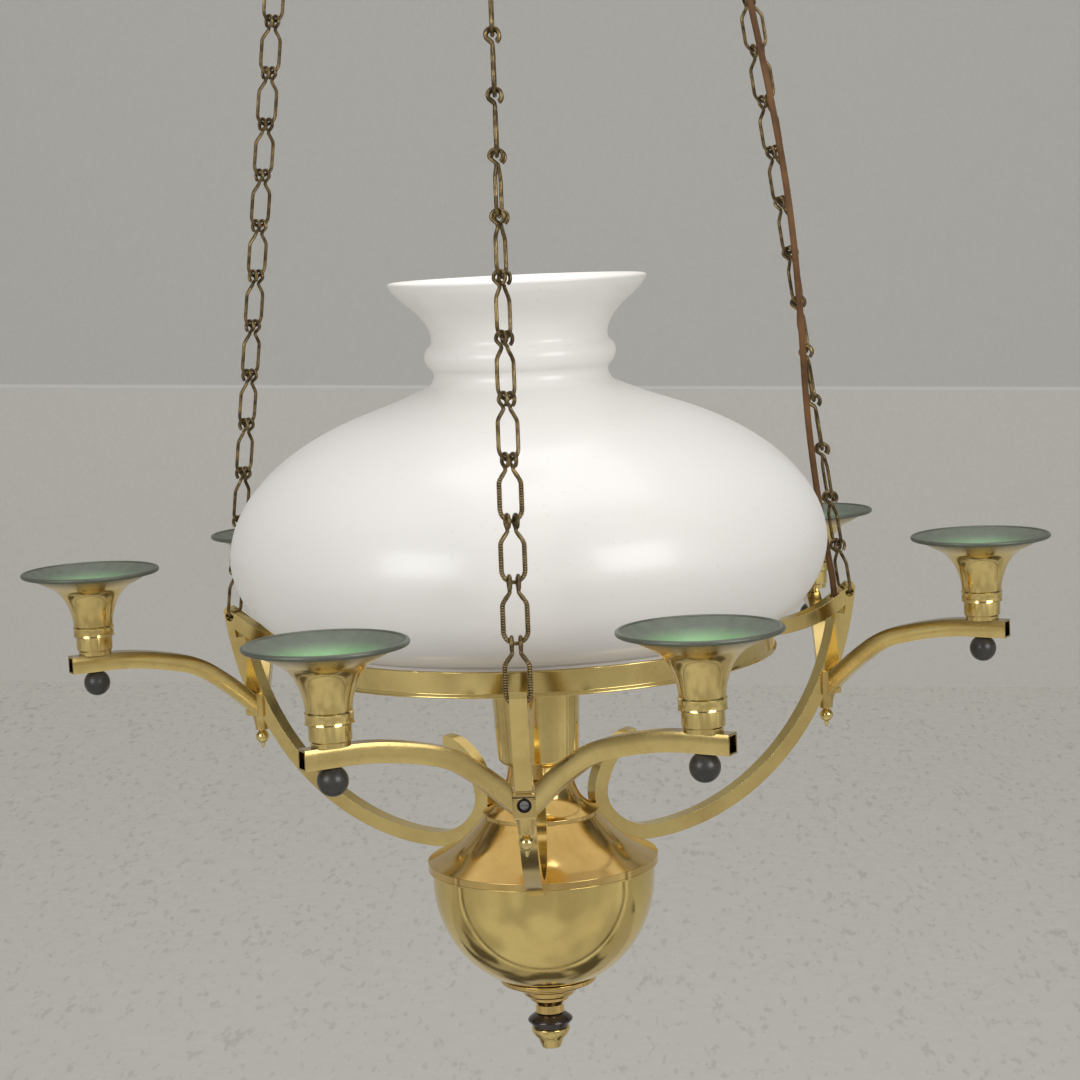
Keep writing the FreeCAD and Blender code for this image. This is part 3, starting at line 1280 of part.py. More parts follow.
def make_bowl_stack():
    """Socket cup, two shoulders, bowl, stepped base, black ring and tip on one rod."""
    bore = size.rod_diameter / 2 + size.rest_gap
    floor = -size.socket_bottom
    foot = corner(size.socket_foot_radius * SOCKET_FLOOR_SHARE, floor)
    side = (size.socket_foot_radius, floor + size.socket_foot_radius * SOCKET_BEND_SHARE)
    path = [corner(bore, floor), foot] + flow(foot, [side], 0) + [corner(size.socket_radius, -size.socket_top)]
    keep("socket_cup", place(turned_body("cup_of_socket", wall(path, size.socket_wall)), z=lamp_level))

    top = corner(size.neck_radius, floor)
    drop = size.step_drop - size.socket_bottom
    points = [(size.neck_radius + (size.step_radius - size.neck_radius) * out, floor - drop * down)
              for out, down in UPPER_SHARES]
    path = [corner(bore, floor), top] + flow(top, points, UPPER_HEADING)
    path.append(corner(size.step_radius, -size.step_drop))
    keep("upper_shoulder", place(turned_body("upper", wall(path, -size.shoulder_wall)), z=lamp_level))

    step = corner(size.step_radius, -size.step_drop)
    spread = size.flange_radius - size.step_radius
    drop = size.flange_top - size.step_drop
    points = [(size.step_radius + spread * out, -size.step_drop - drop * down) for out, down in SHOULDER_SHARES]
    path = [corner(bore, -size.step_drop), step] + flow(step, points, SHOULDER_HEADING)
    path.append(corner(size.flange_radius, -size.flange_bottom))
    shoulder = keep("lower_shoulder", place(turned_body("lower", wall(path, -size.shoulder_wall)), z=lamp_level))

    edge = -size.flange_bottom - size.bowl_wall
    side = corner(size.bowl_radius, edge - size.bowl_straight)
    depth = size.bowl_bottom - size.flange_bottom - size.bowl_wall - size.bowl_straight
    points = [(size.bowl_foot_radius + (size.bowl_radius - size.bowl_foot_radius) * out,
               edge - size.bowl_straight - depth * down) for out, down in BOWL_SHARES]
    path = [corner(size.flange_radius, edge), corner(size.bowl_radius, edge), side]
    path += flow(side, points, -RIGHT_ANGLE) + [corner(bore, -size.bowl_bottom)]
    keep("bowl", place(turned_body("bowl_shell", wall(path, -size.bowl_wall)), z=lamp_level))

    base_bottom = size.bowl_bottom + size.base_height
    spread = size.base_radius - size.base_neck_radius
    profile = [corner(bore, -base_bottom), corner(size.base_neck_radius, -base_bottom)]
    for out, down in reversed(BASE_SHARES):
        profile.append(corner(size.base_neck_radius + spread * out, -size.bowl_bottom - size.base_height * down))
    profile += [corner(size.base_radius, -size.bowl_bottom), corner(bore, -size.bowl_bottom)]
    keep("bowl_base", place(turned_body("base", profile), z=lamp_level))

    ring_bottom = base_bottom + size.dark_ring_height
    profile = [corner(bore, -ring_bottom)]
    profile.append(corner(size.dark_ring_radius / 2, -ring_bottom))
    for out, down in reversed(DARK_RING_SHARES):
        profile.append(corner(size.dark_ring_radius * out, -base_bottom - size.dark_ring_height * down))
    profile += [corner(size.dark_ring_radius / 2, -base_bottom), corner(bore, -base_bottom)]
    keep("finial_ring", place(turned_body("dark_ring", profile), z=lamp_level))

    tip_bottom = ring_bottom + size.tip_piece_height
    bore_end = -ring_bottom - size.tip_piece_height / 2
    profile = [corner(ZERO, -tip_bottom), corner(size.tip_piece_radius * TIP_POINT_SHARE, -tip_bottom)]
    for out, down in reversed(TIP_SHARES):
        profile.append(corner(size.tip_piece_radius * out, -ring_bottom - size.tip_piece_height * down))
    profile += [corner(size.tip_piece_radius * TIP_NECK_SHARE, -ring_bottom), corner(bore, -ring_bottom),
                corner(bore, bore_end), corner(ZERO, bore_end)]
    keep("finial_tip", place(turned_body("tip", profile), z=lamp_level))

    rod_bottom = bore_end + size.rest_gap
    rod_top = floor + size.socket_wall + size.holder_flange_height
    rod = cylinder("long_rod", size.rod_diameter / 2, rod_top - rod_bottom, z=lamp_level + rod_bottom)
    keep("tie_rod", rod)
    return shoulder


def make_lamp_holder():
    """Screw-shell holder on the socket cup's floor, with a bulb."""
    floor = -size.socket_bottom + size.socket_wall
    bore = size.rod_diameter / 2 + size.rest_gap
    top = floor + size.holder_height
    shell_floor = top - size.holder_bore_depth
    rod_end = floor + size.holder_flange_height + size.rest_gap
    flange = floor + size.holder_flange_height
    holder = turned_body("holder", [
        corner(bore, floor),
        corner(size.socket_foot_radius * SOCKET_FLOOR_SHARE, floor),
        corner(size.holder_flange_radius, floor + size.holder_chamfer),
        corner(size.holder_flange_radius, flange),
        corner(size.holder_radius, flange),
        corner(size.holder_radius, top),
        corner(size.holder_bore_radius, top),
        corner(size.holder_bore_radius, shell_floor),
        corner(ZERO, shell_floor),
        corner(ZERO, rod_end),
        corner(bore, rod_end),
    ])
    keep("lamp_holder", place(holder, z=lamp_level))
    cap_bottom = shell_floor + size.rest_gap
    cap_top = cap_bottom + size.bulb_cap_height
    cap = turned_body("cap", [
        corner(ZERO, cap_bottom),
        corner(size.bulb_cap_radius * CAP_TIP_SHARE, cap_bottom),
        corner(size.bulb_cap_radius, cap_bottom + size.bulb_cap_radius * CAP_TIP_SHARE),
        corner(size.bulb_cap_radius, cap_top),
        corner(ZERO, cap_top),
    ])
    keep("bulb_cap", place(cap, z=lamp_level))
    glass_foot = corner(size.bulb_cap_radius, cap_top)
    spread = size.bulb_radius - size.bulb_cap_radius
    points = [(size.bulb_cap_radius + spread * out, cap_top + size.bulb_height * high) for out, high in BULB_SHARES]
    points.append((size.bulb_cap_radius * BULB_TOP_SHARE, cap_top + size.bulb_height))
    profile = [corner(ZERO, cap_top), glass_foot] + flow(glass_foot, points, BULB_HEADING)
    profile.append(corner(ZERO, cap_top + size.bulb_height))
    keep("bulb_glass", place(turned_body("bulb", profile), z=lamp_level))


def rounded_route(name, points):
    """Edges of a lead's route: straight runs joined by tangent arcs, as large as the runs allow."""
    spots = [Vector(*point) for point in points]
    edges = []
    here = spots[0]
    radii = []
    for index in range(1, len(spots) - 1):
        back = spots[index - 1] - spots[index]
        ahead = spots[index + 1] - spots[index]
        reach = ARC_SHARE * min(back.Length, ahead.Length)
        turn = math.pi - back.getAngle(ahead)
        radii.append(reach / math.tan(turn / 2))
        first = spots[index] + back.normalize() * reach
        last = spots[index] + ahead.normalize() * reach
        half_way = (first + last) / 2
        inward = half_way - spots[index]
        bow = radii[-1] / math.cos(turn / 2) - radii[-1]
        middle = spots[index] + inward.normalize() * bow
        edges.append(line_edge(here, first))
        edges.append(arc_edge(first, middle, last))
        here = last
    edges.append(line_edge(here, spots[-1]))
    print(name, "radii", " ".join(f"{radius:.0f}" for radius in radii))
    return edges


def make_lead(node, points):
    """A stretch of the two-core lead as a plain tube."""
    edges = rounded_route(node, points)
    diameter = float(size.lead_diameter)
    tube = pipe(edges, diameter)
    length = sum(edge.Length for edge in edges)
    expected = math.pi * diameter * diameter / 4 * length
    print(node, f"length {length:.1f} mm, volume share {tube.Volume / expected:.4f}")
    feature(node, tube)


def along_arm(points, angle):
    """Route points given as distance out, distance aside and level, turned to an arm's direction."""
    turned = []
    for out, aside, level in points:
        spot = about_z(angle).multVec(Vector(out, aside, level))
        turned.append((spot.x, spot.y, spot.z))
    return turned


def make_leads():
    angle = ARMS[LEAD_ARM]
    supply = along_arm(SUPPLY_ROUTE, angle) + CROWN_ROUTE
    make_lead("supply_lead", supply)
    make_lead("canopy_lead", CANOPY_ROUTE)
    level = float(lamp_level)
    inner = along_arm([(out, aside, height + level) for out, aside, height in INNER_ROUTE], angle)
    make_lead("inner_lead", inner)


def main():
    make_ceiling_strap()
    make_canopy()
    make_hook()
    make_crown()
    make_chains()
    make_ring_and_glass()
    shoulder = make_bowl_stack()
    make_lamp_holder()
    screws = []
    finials = []
    studs = []
    balls = []
    for arm, angle in ARMS.items():
        bracket = make_bracket(arm, angle)
        make_scroll(arm, angle, bracket, shoulder)
        screw, finial = make_block(arm, angle)
        screws.append(screw)
        finials.append(finial)
        for index in range(2):
            make_branch(arm, index)
            stud, ball = make_cup(arm, index)
            studs.append(stud)
            balls.append(ball)
    group("block_screws", screws)
    group("block_finials", finials)
    group("cup_studs", studs)
    group("ball_nuts", balls)
    make_leads()
    doc.recompute()

    for thing in doc.Objects:
        if "Invalid" in thing.State or "Error" in thing.State:
            raise ValueError(f"{thing.Label} is {thing.State}")
    os.makedirs("parts", exist_ok=True)
    for node, thing in parts.items():
        shape = thing.Shape
        if shape.isNull() or not shape.isValid() or not shape.Solids:
            raise ValueError(f"{node} has no valid solid")
        shape.exportStep(f"parts/{node}.step")
    print(len(parts), "sub-parts, ring's middle at", round(float(lamp_level), 2))


main()
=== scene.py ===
"""Looks of the hanging lamp: polished brass, an opal shade, wire chains, dark ball nuts and its brown lead.

Everything is in metres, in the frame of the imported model. Level is the height of the shade ring's middle.
"""

import logging
import math
from dataclasses import dataclass, field
from enum import Enum
from typing import Iterable, Optional, Sequence, Union

import bmesh
import bpy
from mathutils import Matrix, Vector


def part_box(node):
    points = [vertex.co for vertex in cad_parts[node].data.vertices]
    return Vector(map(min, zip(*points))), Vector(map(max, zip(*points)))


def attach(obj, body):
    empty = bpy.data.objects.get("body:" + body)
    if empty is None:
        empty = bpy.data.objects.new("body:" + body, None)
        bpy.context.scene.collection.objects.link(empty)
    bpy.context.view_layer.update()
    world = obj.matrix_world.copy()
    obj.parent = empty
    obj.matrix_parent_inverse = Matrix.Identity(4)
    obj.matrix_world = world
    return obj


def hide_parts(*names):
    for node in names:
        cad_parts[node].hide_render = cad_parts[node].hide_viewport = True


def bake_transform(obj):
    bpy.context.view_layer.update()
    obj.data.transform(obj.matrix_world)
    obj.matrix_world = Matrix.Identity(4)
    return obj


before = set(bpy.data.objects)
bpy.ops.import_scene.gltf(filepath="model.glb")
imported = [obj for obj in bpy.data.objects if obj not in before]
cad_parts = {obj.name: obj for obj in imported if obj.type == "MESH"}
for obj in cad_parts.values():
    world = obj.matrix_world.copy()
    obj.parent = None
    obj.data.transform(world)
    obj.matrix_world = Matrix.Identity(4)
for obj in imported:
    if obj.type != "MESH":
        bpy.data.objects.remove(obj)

log = logging.getLogger("ceiling_lamp")

MM = 0.001
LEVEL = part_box("shade_ring")[0].z + 1.5 * MM
ARC_STEP = math.radians(7.0)
FINE_ARC_STEP = math.radians(5.0)
FULL_TURN = 2 * math.pi
RIGHT_ANGLE = 90.0
HALF_TURN = 180.0
STRAIGHT = 1e-3
TOUCHING = 1e-6
COPY_TOUCHING = 2e-6
RIB_PITCH = 1.5 * MM
DIGITS = 6
SMOOTH_ANGLE = 32.0
LEAD_SMOOTH_ANGLE = 50.0
WIRE_SMOOTH_ANGLE = 60.0
BULB_SMOOTH_ANGLE = 40.0
CROWN_SMOOTH_ANGLE = 38.0
BEVEL_ANGLE = 36.0
BEVEL_STEPS = 2

Corner = tuple[float, float, Optional[float]]
Pair = tuple[float, float]
Colour = tuple[float, float, float]


class Arm(Enum):
    """The lamp's three arms, by the direction in which each points."""

    FRONT = 270.0
    LEFT = 150.0
    RIGHT = 30.0

    @property
    def label(self) -> str:
        """Name used in the model's nodes."""
        return self.name.lower()

    @property
    def outward(self) -> Vector:
        """Level direction from the lamp's axis along the arm."""
        turn = math.radians(self.value)
        return Vector((math.cos(turn), math.sin(turn), 0.0))

    @property
    def aside(self) -> Vector:
        """Level direction to the left of the outward one."""
        turn = math.radians(self.value)
        return Vector((-math.sin(turn), math.cos(turn), 0.0))

    def spot(self, out: float, aside: float = 0.0, rise: float = 0.0) -> Vector:
        """Finds a point in the arm's own frame.

        Args:
            out: Distance from the lamp's axis.
            aside: Distance to the left of the arm.
            rise: Height above the ring's middle.

        Returns:
            The point in the lamp's frame.
        """
        return self.outward * out + self.aside * aside + Vector((0.0, 0.0, LEVEL + rise))


class Body(Enum):
    """Bodies that move, as the model names them."""

    CEILING = "ceiling"
    SWING_RING = "swing_ring"
    LAMP = "lamp"
    SHADE = "shade"
    BULB = "bulb"


CUPS = ("front_left", "front_right", "left_back", "left_front", "right_front", "right_back")


# outlines


def edge_headings(start: Corner, end: Corner) -> Pair:
    """Directions in which an edge leaves its start and arrives at its end.

    Args:
        start: Corner that the edge leaves.
        end: Corner that it reaches, with the edge's own bend.

    Returns:
        The two directions, in radians.
    """
    chord = math.atan2(end[1] - start[1], end[0] - start[0])
    if end[2] is None:
        return chord, chord
    length = math.hypot(end[0] - start[0], end[1] - start[1])
    half = math.copysign(math.asin(min(1.0, length / (2 * abs(end[2])))), end[2])
    return chord - half, chord + half


def flowing(start: Corner, points: Iterable[Pair], heading: float) -> list[Corner]:
    """Joins points with arcs, each tangent to the one before.

    Args:
        start: Corner where the line starts.
        points: Points that it passes.
        heading: Direction at the start, in degrees.

    Returns:
        The corners after the start.
    """
    angle = math.radians(heading)
    corners: list[Corner] = []
    here = (start[0], start[1])
    for x, y in points:
        chord = math.atan2(y - here[1], x - here[0])
        turn = math.remainder(chord - angle, FULL_TURN)
        bend = None
        if abs(turn) > STRAIGHT:
            bend = math.hypot(x - here[0], y - here[1]) / (2 * math.sin(turn))
        corners.append((x, y, bend))
        angle = chord + turn
        here = (x, y)
    return corners


def shifted(path: Sequence[Corner], distance: float) -> list[Corner]:
    """Moves a path to its left, each edge staying parallel.

    Args:
        path: Corners of the path.
        distance: How far to the left.

    Returns:
        The moved path.
    """
    moved: list[Corner] = []
    for index, (x, y, bend) in enumerate(path):
        arriving = edge_headings(path[index - 1], path[index])[1] if index > 0 else None
        leaving = edge_headings(path[index], path[index + 1])[0] if index + 1 < len(path) else None
        arriving = leaving if arriving is None else arriving
        leaving = arriving if leaving is None else leaving
        half = math.remainder(leaving - arriving, FULL_TURN) / 2
        reach = distance / math.cos(half)
        middle = arriving + half
        new_bend = bend - distance if bend is not None and index > 0 else None
        moved.append((x - reach * math.sin(middle), y + reach * math.cos(middle), new_bend))
    return moved


def backwards(path: Sequence[Corner]) -> list[Corner]:
    """Runs a path from its end to its start."""
    turned: list[Corner] = []
    bend: Optional[float] = None
    for x, y, own in reversed(path):
        turned.append((x, y, bend))
        bend = None if own is None else -own
    return turned


def walled(path: Sequence[Corner], thickness: float) -> list[Corner]:
    """Closes a path into a wall on its left, or on its right if the thickness is negative."""
    return list(path) + backwards(shifted(path, thickness))


def sampled(path: Sequence[Corner], step: float = ARC_STEP) -> list[Pair]:
    """Turns corners and arcs into points.

    Args:
        path: Corners of an outline.
        step: Largest turn between two points of an arc, in radians.

    Returns:
        Points along the outline, corners included.
    """
    points: list[Pair] = [(path[0][0], path[0][1])]
    for start, end in zip(path, path[1:]):
        if end[2] is not None:
            first, last = edge_headings(start, end)
            radius = end[2]
            centre = (start[0] - radius * math.sin(first), start[1] + radius * math.cos(first))
            count = max(1, math.ceil(abs(last - first) / step))
            for index in range(1, count):
                angle = first + (last - first) * index / count
                points.append((centre[0] + radius * math.sin(angle), centre[1] - radius * math.cos(angle)))
        points.append((end[0], end[1]))
    return points


def shares(start: Pair, span: Pair, table: Iterable[Pair]) -> list[Pair]:
    """Points that lie at shares of a span from a start."""
    return [(start[0] + span[0] * across, start[1] + span[1] * along) for across, along in table]


def circle(radius: float, count: int) -> list[Pair]:
    """Points at even places round a circle."""
    turns = (FULL_TURN * index / count for index in range(count))
    return [(radius * math.cos(turn), radius * math.sin(turn)) for turn in turns]


def steps(count: int) -> list[float]:
    """Shares of a whole, from the first step to 1."""
    return [index / count for index in range(1, count + 1)]


def rounded(x: float, y: float) -> Pair:
    """A point with few enough digits to be compared."""
    return round(x, DIGITS), round(y, DIGITS)


def on_outline(mesh: bpy.types.Mesh, outline: Iterable[Pair]) -> list[bool]:
    """Tells of each point of a turned mesh whether it comes from a point (radius, height) of an outline."""
    known = {rounded(x, y) for x, y in outline}
    return [rounded(math.hypot(*vertex.co.xy), vertex.co.z) in known for vertex in mesh.vertices]


# meshes


def closed(name: str, shape: bmesh.types.BMesh) -> bpy.types.Mesh:
    """Turns a closed shape's faces outwards and makes it a mesh."""
    bmesh.ops.recalc_face_normals(shape, faces=shape.faces)
    mesh = bpy.data.meshes.new(name)
    shape.to_mesh(mesh)
    shape.free()
    return mesh


def keep(mesh: bpy.types.Mesh, name: str, values: Iterable[float]) -> None:
    """Keeps a value on each point of a mesh."""
    mesh.attributes.new(name, "FLOAT", "POINT").data.foreach_set("value", list(values))


def turned(name: str, outline: Sequence[Pair], segments: int) -> bpy.types.Mesh:
    """Turns a closed outline round the vertical axis.

    Args:
        name: Name of the mesh.
        outline: Points (radius, height) round the section.
        segments: Steps in a full turn.

    Returns:
        A closed mesh whose faces point outwards.
    """
    tidy = [outline[0]]
    for point in outline[1:]:
        if math.dist(point, tidy[-1]) > TOUCHING:
            tidy.append(point)
    if math.dist(tidy[0], tidy[-1]) < TOUCHING:
        tidy.pop()
    shape = bmesh.new()
    rings: list[list[bmesh.types.BMVert]] = []
    for radius, height in tidy:
        if radius < TOUCHING:
            rings.append([shape.verts.new((0.0, 0.0, height))])
            continue
        rings.append([shape.verts.new((x, y, height)) for x, y in circle(radius, segments)])
    for lower, upper in zip(rings, rings[1:] + rings[:1]):
        if len(lower) == 1 and len(upper) == 1:
            continue
        for index in range(segments):
            following = (index + 1) % segments
            corners = [lower[index % len(lower)], lower[following % len(lower)],
                       upper[following % len(upper)], upper[index % len(upper)]]
            shape.faces.new(list(dict.fromkeys(corners)))
    return closed(name, shape)


def smoothed(mesh: bpy.types.Mesh, angle: float = SMOOTH_ANGLE) -> bpy.types.Mesh:
    """Shades a mesh smooth, with edges sharper than an angle in degrees kept."""
    mesh.shade_smooth()
    mesh.set_sharp_from_angle(angle=math.radians(angle))
    return mesh


def raised(mesh: bpy.types.Mesh) -> bpy.types.Mesh:
    """Moves a mesh that was made round the ring's middle into the lamp's frame."""
    mesh.transform(Matrix.Translation((0.0, 0.0, LEVEL)))
    return smoothed(mesh)


def copied(node: str, flat: float = 0.6) -> bpy.types.Mesh:
    """Copies a node's mesh, joins its loose triangles and clears its flat faces.

    Args:
        node: Name of the node.
        flat: Largest turn, in degrees, between triangles that become one face.

    Returns:
        The copy.
    """
    mesh = bpy.data.objects[node].data.copy()
    shape = bmesh.new()
    shape.from_mesh(mesh)
    bmesh.ops.remove_doubles(shape, verts=shape.verts, dist=COPY_TOUCHING)
    if flat > 0:
        bmesh.ops.dissolve_limit(shape, angle_limit=math.radians(flat), verts=shape.verts, edges=shape.edges)
    shape.to_mesh(mesh)
    shape.free()
    mesh.materials.clear()
    return mesh


def swept(name: str, path: Sequence[Vector], section: Sequence[Pair], facing: Vector,
          carried: bool = False) -> bpy.types.Mesh:
    """Carries a section along a path.

    Args:
        name: Name of the mesh.
        path: Points of the middle line.
        section: Closed section, its first axis towards facing.
        facing: Direction of the section's first axis.
        carried: Whether that axis is carried on from point to point, or else turned to facing at each.

    Returns:
        A closed tube with an attribute "along", in metres from the path's start.
    """
    shape = bmesh.new()
    rings = []
    alongs = []
    run = 0.0
    across = facing
    for index, point in enumerate(path):
        before = path[max(0, index - 1)]
        after = path[min(len(path) - 1, index + 1)]
        tangent = (after - before).normalized()
        axis = across if carried else facing
        across = (axis - tangent * axis.dot(tangent)).normalized()
        through = tangent.cross(across)
        run += (point - before).length
        rings.append([shape.verts.new(point + across * a + through * b) for a, b in section])
        alongs.append(run)
    count = len(section)
    for lower, upper in zip(rings, rings[1:]):
        for index in range(count):
            following = (index + 1) % count
            shape.faces.new([lower[index], lower[following], upper[following], upper[index]])
    shape.faces.new(list(reversed(rings[0])))
    shape.faces.new(rings[-1])
    mesh = closed(name, shape)
    keep(mesh, "along", (value for value in alongs for _ in range(count)))
    return mesh


# node trees


Number = Union[float, "Val"]


class Val:
    """A socket that can be used in sums."""

    def __init__(self, board: "Board", socket: bpy.types.NodeSocket) -> None:
        """Keeps the socket and the board it is on."""
        self.board = board
        self.socket = socket

    def _made(self, operation: str, *values: Number) -> "Val":
        """Adds a Math node."""
        return self.board.maths(operation, *values)

    def __add__(self, other: Number) -> "Val":
        """Sum."""
        return self._made("ADD", self, other)

    def __radd__(self, other: Number) -> "Val":
        """Sum, reflected."""
        return self._made("ADD", other, self)

    def __sub__(self, other: Number) -> "Val":
        """Difference."""
        return self._made("SUBTRACT", self, other)

    def __rsub__(self, other: Number) -> "Val":
        """Difference, reflected."""
        return self._made("SUBTRACT", other, self)

    def __mul__(self, other: Number) -> "Val":
        """Product."""
        return self._made("MULTIPLY", self, other)

    def __truediv__(self, other: Number) -> "Val":
        """Quotient."""
        return self._made("DIVIDE", self, other)

    def clamped(self) -> "Val":
        """The value kept between 0 and 1."""
        return self._made("MINIMUM", self._made("MAXIMUM", self, 0.0), 1.0)


class Board:
    """A node tree that nodes are added to."""

    def __init__(self, tree: bpy.types.NodeTree) -> None:
        """Keeps the tree."""
        self.tree = tree

    def add(self, kind: str, settings: Optional[dict] = None,
            values: Optional[dict] = None) -> bpy.types.Node:
        """Adds a node.

        Args:
            kind: The node's type.
            settings: Properties, set before its sockets.
            values: Numbers, colours or Vals by socket name or number.

        Returns:
            The node.
        """
        node = self.tree.nodes.new(kind)
        for key, value in (settings or {}).items():
            if key == "stops":
                self._set_stops(node, value)
            else:
                setattr(node, key, value)
        for key, value in (values or {}).items():
            socket = node.inputs[key]
            if isinstance(value, Val):
                self.tree.links.new(value.socket, socket)
            elif value is not None:
                socket.default_value = value
        return node

    @staticmethod
    def _set_stops(node: bpy.types.Node, stops: Sequence[tuple[float, Sequence[float]]]) -> None:
        """Gives a colour ramp its stops."""
        elements = node.color_ramp.elements
        while len(elements) < len(stops):
            elements.new(0.5)
        for element, (place, colour) in zip(elements, stops):
            element.position = place
            element.color = tuple(colour) + (1.0,) * (4 - len(colour))

    def out(self, node: bpy.types.Node, name: Union[str, int] = 0) -> Val:
        """An output of a node."""
        return Val(self, node.outputs[name])

    def maths(self, operation: str, *values: Number) -> Val:
        """Adds a Math node and returns its result."""
        node = self.add("ShaderNodeMath", {"operation": operation}, dict(enumerate(values)))
        return self.out(node)

    def mix(self, share: Number, first: Union[Sequence[float], Val],
            second: Union[Sequence[float], Val]) -> Val:
        """Mixes two colours.

        Args:
            share: How much of the second.
            first: A colour.
            second: Another colour.

        Returns:
            The mixed colour.
        """
        ends = {}
        for key, value in ((6, first), (7, second)):
            ends[key] = value if isinstance(value, Val) else tuple(value) + (1.0,)
        node = self.add("ShaderNodeMix", {"data_type": "RGBA"}, {0: share, **ends})
        return self.out(node, 2)

    def ramp(self, value: Val, start: float, end: float) -> Val:
        """Share that rises from 0 where the value is start to 1 where it is end."""
        stops = [(start, (0.0, 0.0, 0.0)), (end, (1.0, 1.0, 1.0))]
        return self.out(self.add("ShaderNodeValToRGB", {"stops": stops}, {0: value}))

    def place(self) -> Val:
        """Object coordinates."""
        return self.out(self.add("ShaderNodeTexCoord"), "Object")

    def stretched(self, scale: Sequence[float]) -> Val:
        """Object coordinates with each axis scaled."""
        return self.out(self.add("ShaderNodeMapping", None, {"Vector": self.place(), "Scale": tuple(scale)}))

    def noise(self, scale: float, detail: float = 3.0, roughness: float = 0.5,
              at: Optional[Val] = None) -> Val:
        """Noise on object coordinates.

        Args:
            scale: Waves in a metre.
            detail: Finer layers.
            roughness: Strength of the finer layers.
            at: Coordinates, or None for the object's own.

        Returns:
            A value round one half.
        """
        values = {"Vector": at or self.place(), "Scale": scale, "Detail": detail, "Roughness": roughness}
        return self.out(self.add("ShaderNodeTexNoise", None, values))

    def attribute(self, name: str) -> Val:
        """A value kept on the mesh's points."""
        return self.out(self.add("ShaderNodeAttribute", {"attribute_name": name}), "Fac")

    def bump(self, height: Val, strength: float, distance: float) -> Val:
        """A bumped normal."""
        node = self.add("ShaderNodeBump", None,
                        {"Height": height, "Strength": strength, "Distance": distance})
        return self.out(node)


@dataclass(frozen=True)
class Finish:
    """A surface. Each kind of finish paints its own nodes."""

    name: str

    def material(self) -> bpy.types.Material:
        """Makes the material once and finds it again after that."""
        known = bpy.data.materials.get(f"look_{self.name}")
        if known:
            return known
        made = bpy.data.materials.new(f"look_{self.name}")
        made.use_nodes = True
        made.node_tree.nodes.clear()
        board = Board(made.node_tree)
        shader = board.add("ShaderNodeBsdfPrincipled")
        for key, value in self.paint(board).items():
            if isinstance(value, Val):
                made.node_tree.links.new(value.socket, shader.inputs[key])
            else:
                shader.inputs[key].default_value = value
        board.add("ShaderNodeOutputMaterial", None, {"Surface": board.out(shader)})
        return made

    def paint(self, board: Board) -> dict:
        """Works out the shader's inputs."""
        raise NotImplementedError


@dataclass(frozen=True)
class Brass(Finish):
    """Polished brass, warm where it has tarnished, with fine rubbing marks."""

    pale: Colour = (0.78, 0.61, 0.24)
    deep: Colour = (0.46, 0.30, 0.10)
    roughness: float = 0.08
    tarnish: float = 0.5

    def paint(self, board: Board) -> dict:
        """Clouds of tarnish, small spots, and rubbing marks in the roughness."""
        clouds = board.ramp(board.noise(26.0, 4.0, 0.6), 0.42, 0.74)
        spots = board.ramp(board.noise(420.0, 1.0), 0.70, 0.78)
        film = (clouds * self.tarnish + spots * (self.tarnish * 0.7)).clamped()
        marks = board.noise(900.0, 2.0, 0.6, board.stretched((1.0, 1.0, 0.06)))
        smear = board.ramp(board.noise(60.0, 3.0, 0.7), 0.35, 0.7)
        rough = self.roughness + film * 0.12 + smear * 0.06 + marks * 0.03
        return {"Base Color": board.mix(film, self.pale, self.deep), "Metallic": 1.0, "Roughness": rough,
                "Normal": board.bump(marks, 0.04, 0.0002)}


@dataclass(frozen=True)
class CrownedBrass(Brass):
    """Brass tube whose sides swell a little between their upper and lower edges, painted darker along the
    upper side as a painted dark reflection.
    """

    # Colour of the painted dark reflection along the tube's upper side.
    brown: Colour = (0.085, 0.05, 0.02)
    crown: float = 0.8 * MM

    def paint(self, board: Board) -> dict:
        """Brass painted browner towards its upper edge, as a painted dark reflection from above. The
        attribute edge runs from -1 below to 1 above.
        """
        edge = board.attribute("edge")
        values = super().paint(board)
        # Painted shade: the upper side is mixed towards brown, standing in for a dark reflection from above.
        shade = board.ramp(edge, -0.1, 0.75) * 0.62
        values["Base Color"] = board.mix(shade, values["Base Color"], self.brown)
        values["Normal"] = board.bump(edge * edge * -1.0, 1.0, self.crown)
        return values


@dataclass(frozen=True)
class CupBrass(Finish):
    """Spun brass that is polished outside, with a dull green-grey coat inside and a dark rim."""

    pale: Colour = (0.78, 0.61, 0.24)
    deep: Colour = (0.46, 0.29, 0.09)
    coat: Colour = (0.085, 0.105, 0.08)
    glow: Colour = (0.24, 0.52, 0.20)
    rim: Colour = (0.075, 0.085, 0.062)
    coat_grime: Colour = (0.26, 0.30, 0.24)
    rim_grime: Colour = (0.20, 0.215, 0.17)
    roughness: float = 0.12

    def paint(self, board: Board) -> dict:
        """Uses the cup's own attributes: inside, rim and depth."""
        inside = board.attribute("inside")
        rim = board.attribute("rim")
        depth = board.attribute("depth")
        grime = board.noise(150.0, 4.0, 0.65)
        film = board.ramp(board.noise(34.0, 4.0, 0.6), 0.45, 0.8) * 0.5
        outer = board.mix(film, self.pale, self.deep)
        deep_share = board.ramp(depth, 0.07, 0.2) * 0.85
        lining = board.mix(deep_share, board.mix(grime * 0.5, self.coat, self.coat_grime), self.glow)
        colour = board.mix(rim, board.mix(inside, outer, lining),
                           board.mix(grime * 0.7, self.rim, self.rim_grime))
        dull = (inside * (0.30 - deep_share * 0.18) + rim * 0.24).clamped()
        rough = self.roughness + film * 0.12 + dull + grime * 0.05
        metal = 1.0 - inside * 0.95 - rim * 0.55
        return {"Base Color": colour, "Metallic": metal.clamped(), "Roughness": rough,
                "Normal": board.bump(grime, 0.08, 0.0003)}


